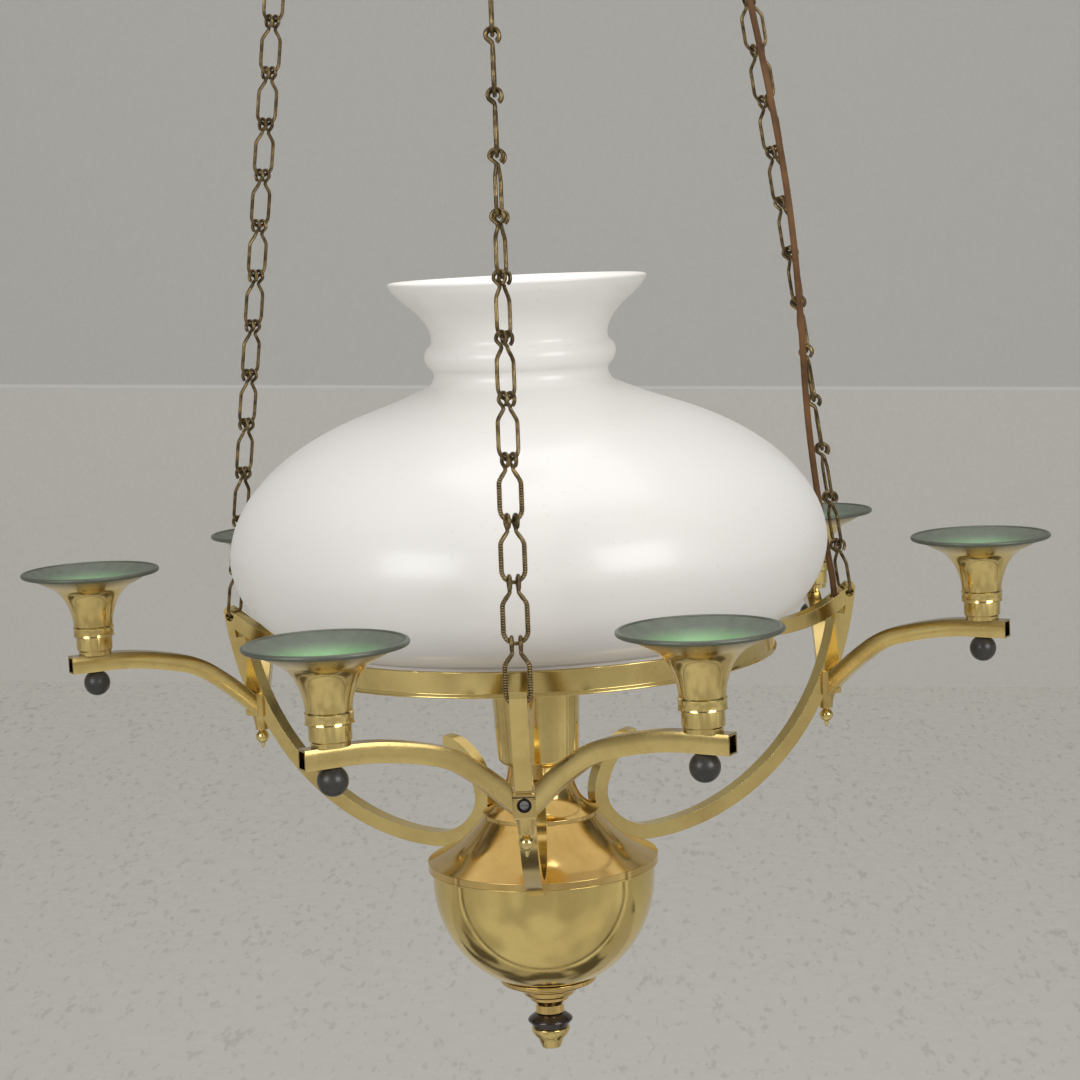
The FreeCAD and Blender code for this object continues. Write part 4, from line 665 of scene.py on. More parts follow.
@dataclass(frozen=True)
class ChainWire(Finish):
    """Brown-olive wire with rubbed bright places. Some links are ribbed along their sides, with painted shade
    in the grooves and crests painted bright as rubbing and painted highlight.
    """

    dark: Colour = (0.09, 0.063, 0.029)
    rubbed: Colour = (0.38, 0.275, 0.125)
    # Colour of the painted shade in the ribs' grooves.
    groove: Colour = (0.03, 0.02, 0.01)
    rib_pitch: float = RIB_PITCH

    def paint(self, board: Board) -> dict:
        """Rubbed clouds, and ribs where the link has them, with painted shade in their grooves and bright
        crests that are partly rubbing and partly painted highlight.
        """
        clouds = board.ramp(board.noise(170.0, 3.0, 0.6), 0.40, 0.68)
        wave = board.maths("SINE", board.attribute("along") * (FULL_TURN / self.rib_pitch))
        ribs = (wave * 0.5 + 0.5) * board.attribute("ribbed")
        # Rib crests are painted bright, partly as rubbing and partly as a painted highlight; the grooves
        # between them get painted shade.
        rubbing_and_rib_highlight = (clouds * 0.75 + ribs * 0.8).clamped()
        painted_groove_shade = ribs * -1.0 + board.attribute("ribbed")
        worn = board.mix(rubbing_and_rib_highlight, self.dark, self.rubbed)
        return {"Base Color": board.mix(painted_groove_shade * 0.85, worn, self.groove), "Metallic": 0.9,
                "Roughness": 0.42 - rubbing_and_rib_highlight * 0.12, "Normal": board.bump(clouds, 0.1, 0.0002)}


@dataclass(frozen=True)
class OpalGlass(Finish):
    """Milk-white glass with a clear, glossy skin, and a painted glow: bright inside as if lit through the
    glass, faint outside to lift its shaded sides.
    """

    white: Colour = (0.705, 0.69, 0.665)
    warm: Colour = (0.66, 0.635, 0.60)
    speck: Colour = (0.42, 0.40, 0.37)
    glow_outside: Colour = (0.17, 0.16, 0.145)
    glow_inside: Colour = (0.95, 0.9, 0.82)

    def paint(self, board: Board) -> dict:
        """Very soft clouds and a few specks under a clear gloss, with a painted glow from the emission."""
        clouds = board.ramp(board.noise(5.0, 2.0), 0.3, 0.7)
        specks = board.ramp(board.noise(330.0, 0.0), 0.765, 0.79)
        tone = board.mix(clouds * 0.5, self.white, self.warm)
        # Painted light: the inner wall glows as if lit through the glass, and the outer wall glows faintly to
        # lift its shaded sides.
        glow = board.mix(board.attribute("lining"), self.glow_outside, self.glow_inside)
        return {"Base Color": board.mix(specks * 0.12, tone, self.speck),
                "Roughness": 0.34 + clouds * 0.05,
                "Coat Weight": 0.35, "Coat Roughness": 0.17, "IOR": 1.5, "Emission Color": glow,
                "Emission Strength": 0.33, "Normal": board.bump(board.noise(9.0, 1.0), 0.08, 0.002)}


@dataclass(frozen=True)
class Lacquer(Finish):
    """Dark stoving lacquer with a soft shine."""

    base: Colour = (0.022, 0.023, 0.025)
    dusty: Colour = (0.075, 0.077, 0.08)
    roughness: float = 0.36

    def paint(self, board: Board) -> dict:
        """Dust in clouds, and a fine orange-peel skin."""
        dust = board.ramp(board.noise(120.0, 4.0, 0.7), 0.4, 0.8)
        return {"Base Color": board.mix(dust * 0.6, self.base, self.dusty),
                "Roughness": self.roughness + dust * 0.14,
                "Coat Weight": 0.25, "Coat Roughness": 0.2,
                "Normal": board.bump(board.noise(700.0, 2.0), 0.12, 0.0002)}


@dataclass(frozen=True)
class Steel(Finish):
    """Bright steel with lathe marks and a little soil."""

    bright: Colour = (0.56, 0.56, 0.55)
    soiled: Colour = (0.20, 0.18, 0.15)
    roughness: float = 0.3

    def paint(self, board: Board) -> dict:
        """Soil in the low places of a noise."""
        soil = board.ramp(board.noise(260.0, 3.0, 0.6), 0.45, 0.72)
        return {"Base Color": board.mix(soil * 0.7, self.bright, self.soiled), "Metallic": 1.0,
                "Roughness": self.roughness + soil * 0.2,
                "Normal": board.bump(board.noise(1500.0, 1.0), 0.1, 0.0001)}


@dataclass(frozen=True)
class Sheath(Finish):
    """Soft brown sheath of a twin lead, slightly glossy and sooty in places."""

    base: Colour = (0.17, 0.082, 0.03)
    dark: Colour = (0.075, 0.036, 0.015)

    def paint(self, board: Board) -> dict:
        """Clouds along the lead."""
        clouds = board.noise(45.0, 4.0, 0.6)
        shade = board.ramp(clouds, 0.38, 0.7)
        return {"Base Color": board.mix(shade, self.base, self.dark), "Roughness": 0.45 + shade * 0.14,
                "Specular IOR Level": 0.22,
                "Normal": board.bump(board.noise(380.0, 2.0), 0.12, 0.0003)}


@dataclass(frozen=True)
class Clay(Finish):
    """Fired or moulded stuff with fine speckles: porcelain, or dark moulded plastic."""

    base: Colour = (0.72, 0.70, 0.65)
    speck: Colour = (0.50, 0.46, 0.40)
    roughness: float = 0.22

    def paint(self, board: Board) -> dict:
        """Speckles and a smooth skin."""
        specks = board.ramp(board.noise(300.0, 2.0), 0.55, 0.75)
        return {"Base Color": board.mix(specks * 0.6, self.base, self.speck),
                "Roughness": self.roughness + specks * 0.1,
                "Normal": board.bump(board.noise(200.0, 2.0), 0.08, 0.0003)}


@dataclass(frozen=True)
class FrostedBulb(Finish):
    """White bulb glass."""

    base: Colour = (0.84, 0.83, 0.80)
    cloudy: Colour = (0.76, 0.745, 0.72)

    def paint(self, board: Board) -> dict:
        """Soft clouds under a clear skin."""
        clouds = board.noise(40.0, 2.0)
        return {"Base Color": board.mix(clouds * 0.3, self.base, self.cloudy),
                "Roughness": 0.3 + clouds * 0.05,
                "Coat Weight": 0.5, "Coat Roughness": 0.08}


BRASS = Brass("polished_brass")
WORN_BRASS = Brass("worn_brass", (0.72, 0.54, 0.21), (0.38, 0.24, 0.08), 0.2, 0.8)
BOWL_BRASS = Brass("spun_brass", (0.80, 0.62, 0.23), (0.52, 0.34, 0.11), 0.07, 0.3)
TUBE_BRASS = CrownedBrass("tube_brass", roughness=0.12)
GOLD_BRASS = Brass("warm_brass", (0.76, 0.54, 0.20), (0.48, 0.29, 0.09), 0.08, 0.5)
CUP_BRASS = CupBrass("cup_brass")
CHAIN_WIRE = ChainWire("chain_wire")
OPAL = OpalGlass("opal_glass")
BLACK = Lacquer("black_lacquer", (0.024, 0.021, 0.018), (0.060, 0.054, 0.046))
BROWN_BLACK = Lacquer("brown_black_lacquer", (0.018, 0.012, 0.010), (0.05, 0.035, 0.028), 0.16)
# Painted shade for the sunk holes in the arm blocks.
HOLLOW_SHADE = Lacquer("dark_hollow", (0.012, 0.009, 0.006), (0.03, 0.022, 0.014), 0.5)
STEEL = Steel("steel")
DARK_STEEL = Steel("dark_steel", (0.34, 0.34, 0.33), (0.08, 0.07, 0.06), 0.22)
SHEATH = Sheath("lead_sheath")
PORCELAIN = Clay("porcelain")
DARK_PLASTIC = Clay("dark_plastic", (0.03, 0.028, 0.026), (0.06, 0.055, 0.05), 0.4)
BULB_GLASS = FrostedBulb("bulb_glass")


# pieces


def piece(name: str, mesh: bpy.types.Mesh, finish: Finish, body: Optional[Body],
          nodes: Sequence[str] = (), ease: float = 0.0) -> bpy.types.Object:
    """Makes an object from a mesh and ties it to the model.

    Args:
        name: Name of the piece.
        mesh: Its mesh, with its place in it.
        finish: Its surface.
        body: Body that it moves with, or None if it bends between two.
        nodes: Nodes that it replaces.
        ease: Width of the softened edges, in metres, or 0 for none.

    Returns:
        The object.
    """
    mesh.name = name
    made = bpy.data.objects.new(name, mesh)
    bpy.context.scene.collection.objects.link(made)
    mesh.materials.clear()
    mesh.materials.append(finish.material())
    if ease > 0:
        bevel = made.modifiers.new("eased_edges", "BEVEL")
        bevel.width = ease
        bevel.segments = BEVEL_STEPS
        bevel.limit_method = "ANGLE"
        bevel.angle_limit = math.radians(BEVEL_ANGLE)
        bevel.harden_normals = True
    if body is not None:
        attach(made, body.value)
    if nodes:
        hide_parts(*nodes)
    log.info("%s, %d faces", name, len(mesh.polygons))
    return made


def dressed(finish: Finish, *nodes: str) -> None:
    """Gives nodes that stay as they are a better surface."""
    for node in nodes:
        for slot in bpy.data.objects[node].material_slots:
            slot.material = finish.material()
        log.info("%s keeps its shape", node)


def started(name: str, sockets: Iterable[tuple[str, str]]) -> tuple[
        bpy.types.NodeTree, Board, bpy.types.Node, dict[str, str]]:
    """Starts a geometry tree.

    Args:
        name: Name of the tree.
        sockets: Names and kinds of its inputs after the mesh.

    Returns:
        The tree, its board, its node of inputs, and the inputs' identifiers by name.
    """
    tree = bpy.data.node_groups.new(name, "GeometryNodeTree")
    face = tree.interface
    face.new_socket(name="Geometry", in_out="INPUT", socket_type="NodeSocketGeometry")
    keys = {label: face.new_socket(name=label, in_out="INPUT", socket_type=f"NodeSocket{kind}").identifier
            for label, kind in sockets}
    face.new_socket(name="Geometry", in_out="OUTPUT", socket_type="NodeSocketGeometry")
    board = Board(tree)
    return tree, board, board.add("NodeGroupInput"), keys


def ended(board: Board, given: bpy.types.Node, shape: bpy.types.Node) -> None:
    """Gives a tree's result the material of its inputs and puts it out."""
    painted = board.add("GeometryNodeSetMaterial", None, {
        "Geometry": board.out(shape), "Material": board.out(given, "Material")})
    board.add("NodeGroupOutput", None, {0: board.out(painted)})


class RoundCopies:
    """Node tree that puts copies of a mesh at even places round the lamp."""

    def __init__(self) -> None:
        """Builds the tree with its named inputs."""
        self.tree, board, given, self.keys = started("round_copies", (
            ("Arms", "Int"), ("Sides", "Int"), ("Radius", "Float"), ("First Turn", "Float"),
            ("Spread", "Float"), ("Level", "Float"), ("Material", "Material")))
        index = board.out(board.add("GeometryNodeInputIndex"))
        arms, sides = board.out(given, "Arms"), board.out(given, "Sides")
        arm = board.maths("FLOOR", (index + 0.5) / sides)
        side = index - arm * sides
        turn = board.out(given, "First Turn") + arm * FULL_TURN / arms
        turn = turn + (side * 2.0 - (sides - 1.0)) * board.out(given, "Spread")
        radius = board.out(given, "Radius")
        where = board.add("ShaderNodeCombineXYZ", None, {
            "X": board.maths("COSINE", turn) * radius, "Y": board.maths("SINE", turn) * radius,
            "Z": board.out(given, "Level")})
        points = board.add("GeometryNodePoints", None, {"Count": arms * sides, "Position": board.out(where)})
        facing = board.out(board.add("ShaderNodeCombineXYZ", None, {"Z": turn}))
        copies = board.add("GeometryNodeInstanceOnPoints", None, {
            "Points": board.out(points), "Instance": board.out(given, "Geometry"), "Rotation": facing})
        ended(board, given, board.add("GeometryNodeRealizeInstances", None, {0: board.out(copies)}))

    def made(self, name: str, mesh: bpy.types.Mesh, finish: Finish, radius: float, level: float,
             spread: float = 0.0) -> bpy.types.Mesh:
        """Runs the tree on a mesh.

        Args:
            name: Name of the result.
            mesh: One copy, standing at the origin and facing +X.
            finish: Its surface.
            radius: Distance of the copies from the lamp's axis.
            level: Height of the copies' origin.
            spread: Turn of two copies to the sides of each arm, in degrees, or 0 for one copy on the arm.

        Returns:
            A plain mesh of all the copies.
        """
        values = {"Arms": 3, "Sides": 2 if spread else 1, "Radius": radius, "Level": level,
                  "First Turn": math.radians(Arm.RIGHT.value), "Spread": math.radians(spread),
                  "Material": finish.material()}
        return run_tree(name, mesh, self.tree, {self.keys[key]: value for key, value in values.items()})


def run_tree(name: str, mesh: bpy.types.Mesh, tree: bpy.types.NodeTree, values: dict) -> bpy.types.Mesh:
    """Runs a geometry tree on a mesh and keeps the result as a plain mesh.

    Args:
        name: Name of the result.
        mesh: Mesh that the tree starts from.
        tree: The tree.
        values: Inputs by the sockets' identifiers.

    Returns:
        The result.
    """
    carrier = bpy.data.objects.new(f"{name}_carrier", mesh)
    bpy.context.scene.collection.objects.link(carrier)
    modifier = carrier.modifiers.new("tree", "NODES")
    modifier.node_group = tree
    for key, value in values.items():
        modifier[key] = value
    carrier.update_tag()
    bpy.context.view_layer.update()
    view = bpy.context.evaluated_depsgraph_get()
    result = bpy.data.meshes.new_from_object(carrier.evaluated_get(view), preserve_all_data_layers=True,
                                             depsgraph=view)
    carrier.modifiers.clear()
    bpy.data.objects.remove(carrier)
    result.name = name
    return result


# chains


@dataclass
class Chains:
    """Three chains of bent wire links from the crown down to the arms' tips."""

    pitch: float = 35.0 * MM
    count: int = 30
    wire: float = 2.4 * MM
    width: float = 16.6 * MM
    neck_width: float = 7.6 * MM
    hook_diameter: float = 10.5 * MM
    hook_drop: float = 0.35 * MM
    hook_rise: float = 5.0 * MM
    shoulder_height: float = 8.0 * MM
    neck_height: float = 0.5 * MM
    hole_radius: float = 252.0 * MM
    hole_rise: float = 11.8 * MM
    eye_radius: float = 90.0 * MM
    sides: int = 10
    round_steps: int = 8
    side_steps: int = 4
    neck_steps: int = 6
    hook_steps: int = 18
    hook_turn: float = 236.0
    ribs_from: float = 0.5
    steps_per_rib: int = 4
    rib_pitch: float = RIB_PITCH
    rib_height: float = 0.55 * MM
    twists: dict[Arm, float] = field(
        default_factory=lambda: {Arm.FRONT: 90.0, Arm.LEFT: -60.0, Arm.RIGHT: -120.0})
    twisted_shares: dict[Arm, float] = field(
        default_factory=lambda: {Arm.FRONT: 0.3, Arm.LEFT: 0.95, Arm.RIGHT: 0.4})
    ribbed: dict[Arm, int] = field(default_factory=lambda: {Arm.FRONT: 4, Arm.LEFT: 0, Arm.RIGHT: 0})

    def half_line(self, side: int) -> list[tuple[Vector, float]]:
        """Middle line of one half of a link, from its bottom, up its side and shoulder, to its hook's end.

        Args:
            side: 1 or -1.

        Returns:
            Points, each with 1 where a ribbed link has ribs and 0 elsewhere.
        """
        half = (self.width - self.wire) / 2
        neck = (self.neck_width - self.wire) / 2
        hook = (self.hook_diameter - self.wire) / 2
        hook_level = self.pitch - self.hook_drop
        neck_top = hook_level - self.hook_rise
        shoulder_top = neck_top - self.neck_height
        shoulder_bottom = shoulder_top - self.shoulder_height
        line = [(Vector((0.0, 0.0, 0.0)), 0.0)]
        for share in steps(self.round_steps):
            turn = math.pi / 2 * share
            line.append((Vector((side * half * math.sin(turn), 0.0, half - half * math.cos(turn))), share))
        for share in steps(self.side_steps):
            line.append((Vector((side * half, 0.0, half + (shoulder_bottom - half) * share)), 1.0))
        for share in steps(self.round_steps):
            out = half + (neck - half) * share * share * (2 - share)
            height = shoulder_bottom + self.shoulder_height * share
            line.append((Vector((side * out, 0.0, height)), 1 - share))
        for share in steps(self.neck_steps):
            forward = hook * share * share * (3 - 2 * share)
            line.append((Vector((side * neck, forward, neck_top + self.hook_rise * share)), 0.0))
        for share in steps(self.hook_steps):
            turn = math.radians(self.hook_turn) * share
            height = hook_level + hook * math.sin(turn)
            line.append((Vector((side * neck, hook * math.cos(turn), height)), 0.0))
        return line

    def fine(self, line: Sequence[tuple[Vector, float]]) -> list[tuple[Vector, float]]:
        """Adds points to the stretches that have ribs, a quarter of a rib apart."""
        finer = [line[0]]
        for (start, first), (end, last) in zip(line, line[1:]):
            count = 1
            if min(first, last) > self.ribs_from:
                count = max(1, round((end - start).length / (self.rib_pitch / self.steps_per_rib)))
            for share in steps(count):
                finer.append((start.lerp(end, share), first + (last - first) * share))
        return finer

    def link(self, ribs: bool) -> bpy.types.Mesh:
        """One link at the origin, its bottom wire through it and its hooks at the top.

        Args:
            ribs: Whether the mesh is fine enough for ribs.

        Returns:
            The link, with attributes "along" and "ribbed_side".
        """
        left = self.half_line(-1)
        line = list(reversed(left)) + self.half_line(1)[1:]
        if ribs:
            line = self.fine(line)
        points = [point for point, _ in line]
        section = circle(self.wire / 2, self.sides)
        mesh = swept("link", points, section, Vector((1.0, 0.0, 0.0)), carried=True)
        keep(mesh, "ribbed_side", (share for _, share in line for _ in range(self.sides)))
        return smoothed(mesh, WIRE_SMOOTH_ANGLE)

    def tree(self) -> tuple[bpy.types.NodeTree, dict[str, str]]:
        """Builds the tree that hangs links on each other.

        Returns:
            The tree, and its inputs' identifiers by name.
        """
        tree, board, given, keys = started("link_chain", (
            ("Count", "Int"), ("Foot", "Vector"), ("Step", "Vector"), ("Lean", "Rotation"),
            ("Twist", "Float"), ("Twisted Share", "Float"), ("Ribbed Links", "Float"),
            ("Material", "Material")))
        index = board.out(board.add("GeometryNodeInputIndex"))
        count = board.out(given, "Count")
        line = board.add("GeometryNodeMeshLine", {"mode": "OFFSET"}, {
            "Count": count, "Start Location": board.out(given, "Foot"), "Offset": board.out(given, "Step")})
        share = (index / (count * board.out(given, "Twisted Share"))).clamped()
        twist = board.add("FunctionNodeAxisAngleToRotation", None, {
            "Axis": (0.0, 0.0, 1.0), "Angle": board.out(given, "Twist") * share})
        facing = board.add("FunctionNodeRotateRotation", {"rotation_space": "LOCAL"}, {
            "Rotation": board.out(given, "Lean"), "Rotate By": board.out(twist)})
        chosen = board.maths("LESS_THAN", index, board.out(given, "Ribbed Links"))
        marked = board.add("GeometryNodeStoreNamedAttribute", {"data_type": "FLOAT", "domain": "POINT"}, {
            "Geometry": board.out(line), "Name": "chosen", "Value": chosen})
        copies = board.add("GeometryNodeInstanceOnPoints", None, {
            "Points": board.out(marked), "Instance": board.out(given, "Geometry"),
            "Rotation": board.out(facing)})
        real = board.add("GeometryNodeRealizeInstances", None, {0: board.out(copies)})
        read_back = []
        for name in ("chosen", "ribbed_side", "along"):
            read = board.add("GeometryNodeInputNamedAttribute", {"data_type": "FLOAT"}, {"Name": name})
            read_back.append(board.out(read, "Attribute"))
        on_link, on_side, along = read_back
        ribs = board.add("GeometryNodeStoreNamedAttribute", {"data_type": "FLOAT", "domain": "POINT"}, {
            "Geometry": board.out(real), "Name": "ribbed", "Value": on_link * on_side})
        wave = board.maths("SINE", along * (FULL_TURN / self.rib_pitch)) * 0.5 + 0.5
        swell = board.add("ShaderNodeVectorMath", {"operation": "SCALE"}, {
            0: board.out(board.add("GeometryNodeInputNormal")),
            "Scale": wave * on_link * on_side * self.rib_height})
        ended(board, given, board.add("GeometryNodeSetPosition", None, {
            "Geometry": board.out(ribs), "Offset": board.out(swell)}))
        return tree, keys

    def build(self) -> None:
        """Hangs the three chains."""
        tree, keys = self.tree()
        spread = self.hole_radius - self.eye_radius
        length = self.pitch * self.count + (self.width - self.wire) / 2
        lean = math.asin(spread / length)
        for arm in Arm:
            up = Vector((0.0, 0.0, math.cos(lean))) - arm.outward * math.sin(lean)
            sideways = arm.aside
            through = up.cross(sideways)
            turn = Matrix((sideways, through, up)).transposed().to_euler()
            foot = arm.spot(self.hole_radius, 0.0, self.hole_rise)
            values = {"Count": self.count, "Foot": foot, "Step": up * self.pitch, "Lean": turn,
                      "Twist": math.radians(self.twists[arm]),
                      "Twisted Share": self.twisted_shares[arm],
                      "Ribbed Links": float(self.ribbed[arm]), "Material": CHAIN_WIRE.material()}
            name = f"wire_chain_{arm.label}"
            mesh = run_tree(name, self.link(self.ribbed[arm] > 0), tree,
                            {keys[key]: value for key, value in values.items()})
            piece(name, smoothed(mesh, WIRE_SMOOTH_ANGLE), CHAIN_WIRE, Body.LAMP,
                  [f"chain_{arm.label}"])


# leads


@dataclass
class Lead:
    """One stretch of the brown twin lead."""

    name: str
    node: str
    route: tuple[tuple[float, float, float], ...]
    length: float
    facing: Vector
    slot: str = "lead_sheath"
    width: float = 4.8 * MM
    thickness: float = 3.3 * MM
    groove_turn: int = 125
    turn_step: int = 25
    order: int = 3
    fineness: int = 10

    def line(self) -> list[Vector]:
        """Reads the points of the stretch's smooth line."""
        curve = bpy.data.curves.new(f"{self.name}_line", "CURVE")
        curve.dimensions = "3D"
        curve.resolution_u = self.fineness
        spline = curve.splines.new("NURBS")
        spline.points.add(len(self.route) - 1)
        for point, place in zip(spline.points, self.route):
            point.co = (*place, 1.0)
        spline.order_u = self.order
        spline.use_endpoint_u = True
        carrier = bpy.data.objects.new(f"{self.name}_line", curve)
        bpy.context.scene.collection.objects.link(carrier)
        bpy.context.view_layer.update()
        view = bpy.context.evaluated_depsgraph_get()
        mesh = bpy.data.meshes.new_from_object(carrier.evaluated_get(view))
        points = [vertex.co.copy() for vertex in mesh.vertices]
        bpy.data.objects.remove(carrier)
        bpy.data.meshes.remove(mesh)
        return points

    def section(self) -> list[Pair]:
        """Twin section: two round cores side by side with a groove between them."""
        core = self.thickness / 2
        offset = self.width / 2 - core
        angles = range(-self.groove_turn, self.groove_turn + 1, self.turn_step)
        right = [(offset + core * math.cos(turn), core * math.sin(turn))
                 for turn in map(math.radians, angles)]
        left = [(-x, -y) for x, y in right]
        return right + left

    def build(self, body: Optional[Body] = None) -> bpy.types.Object:
        """Args:
            body: Body that it moves with, or None if it bends between two.

        Returns:
            The piece.
        """
        points = self.line()
        mesh = smoothed(swept(self.name, points, self.section(), self.facing), LEAD_SMOOTH_ANGLE)
        made = piece(self.name, mesh, SHEATH, body, [self.node])
        return made


@dataclass
class Leads:
    """The lead: beside the right chain, through the crown, into the canopy, and inside to the holder."""

    @staticmethod
    def along_arm(points: Iterable[tuple[float, float, float]]) -> tuple[tuple[float, float, float], ...]:
        """Turns points (out, aside, height) of the right arm's frame into the lamp's frame."""
        arm = Arm.RIGHT
        return tuple(tuple(arm.outward * out + arm.aside * aside + Vector((0.0, 0.0, height)))
                     for out, aside, height in points)

    def build(self) -> None:
        arm = Arm.RIGHT
        beside_chain = self.along_arm((
            (0.2425, 0.0, -1.2645), (0.2425, 0.0, -1.249), (0.2368, -0.0004, -1.222),
            (0.2295, -0.0006, -1.178), (0.2206, -0.0046, -1.122), (0.2146, -0.0106, -1.056),
            (0.2081, -0.0116, -0.980),
            (0.1942, -0.0112, -0.900), (0.1764, -0.0086, -0.815), (0.1661, -0.0109, -0.730),
            (0.1517, -0.0103, -0.645), (0.1394, -0.0111, -0.560), (0.1247, -0.0103, -0.475),
            (0.1129, -0.0110, -0.390), (0.0988, -0.0107, -0.305), (0.0835, -0.0108, -0.243)))
        in_crown = ((0.0616, 0.0237, -0.214), (0.0529, 0.0182, -0.190), (0.0444, 0.0119, -0.170),
                    (0.0340, 0.0049, -0.160), (0.0272, 0.0012, -0.148), (0.0252, 0.0004, -0.133),
                    (0.0250, 0.0, -0.114), (0.0250, 0.0, -0.096))
        in_canopy = ((0.0250, 0.0, -0.096), (0.0250, 0.0, -0.084), (0.0242, -0.0008, -0.070),
                     (0.0250, 0.0, -0.056), (0.0250, 0.0, -0.040), (0.0255, 0.0005, -0.028),
                     (0.0255, 0.0005, -0.016))
        to_holder = self.along_arm(tuple((out, aside, LEVEL + rise) for out, aside, rise in (
            (0.149, 0.0, -0.0065), (0.134, 0.0, -0.0065), (0.110, 0.004, -0.0115), (0.084, 0.005, -0.0105),
            (0.062, 0.003, -0.002), (0.0465, 0.0016, 0.0021), (0.0349, 0.0008, -0.0008),
            (0.0269, 0.0002, -0.0084), (0.0236, 0.0, -0.018), (0.0231, 0.0002, -0.034),
            (0.0234, 0.0, -0.0445), (0.0234, 0.0, -0.0565))))

        supply = Lead("brown_lead", "supply_lead", beside_chain + in_crown, 1.1996, arm.outward).build()
        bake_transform(supply)
        upper = Lead("brown_lead_top", "canopy_lead", in_canopy, 0.0801, arm.outward).build()
        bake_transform(upper)
        Lead("brown_lead_inside", "inner_lead", to_holder, 0.1762, arm.aside).build(Body.LAMP)


# shade and ring


@dataclass
class Shade:
    """Opal glass shade: a broad low body, a beaded neck and a flared top rim."""

    wall: float = 3.0 * MM
    foot_radius: float = 153.5 * MM
    foot_bottom: float = 1.2 * MM
    foot_top: float = 15.8 * MM
    radius: float = 197.0 * MM
    widest: float = 70.0 * MM
    shoulder: float = 181.3 * MM
    neck_radius: float = 57.5 * MM
    bead: float = 5.5 * MM
    neck_height: float = 65.6 * MM
    rim_radius: float = 85.2 * MM
    heading: float = 16.6
    dome_rise: float = 108.5 * MM
    dome_inner: float = 101.2 * MM
    dome_steps: int = 26
    neck_shares: tuple[Pair, ...] = ((0.0, 0.069), (0.31, 0.135), (1.0, 0.26), (0.45, 0.362))
    flare_shares: tuple[Pair, ...] = ((0.017, 0.428), (0.15, 0.6), (0.5, 0.76), (0.857, 0.9), (1.0, 1.0))
    shoulder_share: float = 1.093
    shoulder_drop: float = 3.2 * MM
    ease: float = 0.7 * MM
    arc_step: float = 4.0
    segments: int = 176

    def build(self) -> None:
        """Turns the shade."""
        foot: Corner = (self.foot_radius, self.foot_bottom, None)
        foot_top: Corner = (self.foot_radius, self.foot_top, None)
        path = [foot, foot_top] + flowing(foot_top, [(self.radius, self.widest)], self.heading)
        last = math.asin(self.dome_inner / self.radius)
        for share in steps(self.dome_steps):
            turn = math.pi / 2 + (last - math.pi / 2) * share
            path.append((self.radius * math.sin(turn), self.widest + self.dome_rise * math.cos(turn), None))
        leaving = math.atan2(self.dome_rise * math.sin(last), -self.radius * math.cos(last))
        points = [(self.neck_radius * self.shoulder_share, self.shoulder - self.shoulder_drop)]
        neck = (self.neck_radius, self.shoulder)
        points += shares(neck, (self.bead, self.neck_height), self.neck_shares)
        points += shares(neck, (self.rim_radius - self.neck_radius, self.neck_height), self.flare_shares)
        path += flowing(path[-1], points, math.degrees(leaving))
        step = math.radians(self.arc_step)
        mesh = turned("opal_shade", sampled(walled(path, self.wall), step), self.segments)
        # Marks the inner wall, which the glass's material paints with a glow as if lit through the glass.
        keep(mesh, "lining", map(float, on_outline(mesh, sampled(shifted(path, self.wall), step))))
        piece("opal_shade", raised(mesh), OPAL, Body.SHADE, ["glass_shade"], self.ease)


@dataclass
class ShadeRing:
    """Brass band with a rolled lip at its top and bottom, which carries the shade."""

    radius: float = 160.0 * MM
    wall: float = 2.0 * MM
    bottom: float = 1.5 * MM
    top: float = 14.7 * MM
    ledge_width: float = 12.0 * MM
    ledge_thickness: float = 2.5 * MM
    lip: float = 1.2 * MM
    bead: float = 0.45 * MM
    ease: float = 0.25 * MM
    arc_step: float = 20.0
    segments: int = 192

    def build(self) -> None:
        """Turns the band with a bead at its top edge."""
        inside = self.radius - self.wall
        ledge_top = -self.bottom + self.ledge_thickness
        outer = self.radius
        path: list[Corner] = [
            (inside - self.ledge_width, -self.bottom, None),
            (outer + self.lip, -self.bottom, None),
            (outer + self.lip, -self.bottom + self.lip, self.lip * 0.7),
            (outer, ledge_top, None),
            (outer, self.top - self.bead * 3, None),
            (outer + self.bead * 0.4, self.top - self.bead, None),
            (outer - self.bead, self.top, self.bead * 1.6),
            (inside + self.bead, self.top, None),
            (inside, self.top - self.bead, None),
            (inside, ledge_top, None),
            (inside - self.ledge_width, ledge_top, None),
        ]
        mesh = turned("ring_band", sampled(path, math.radians(self.arc_step)), self.segments)
        piece("ring_band", raised(mesh), BRASS, Body.LAMP, ["shade_ring"], self.ease)
        dressed(STEEL, "ring_screws")


# the arms


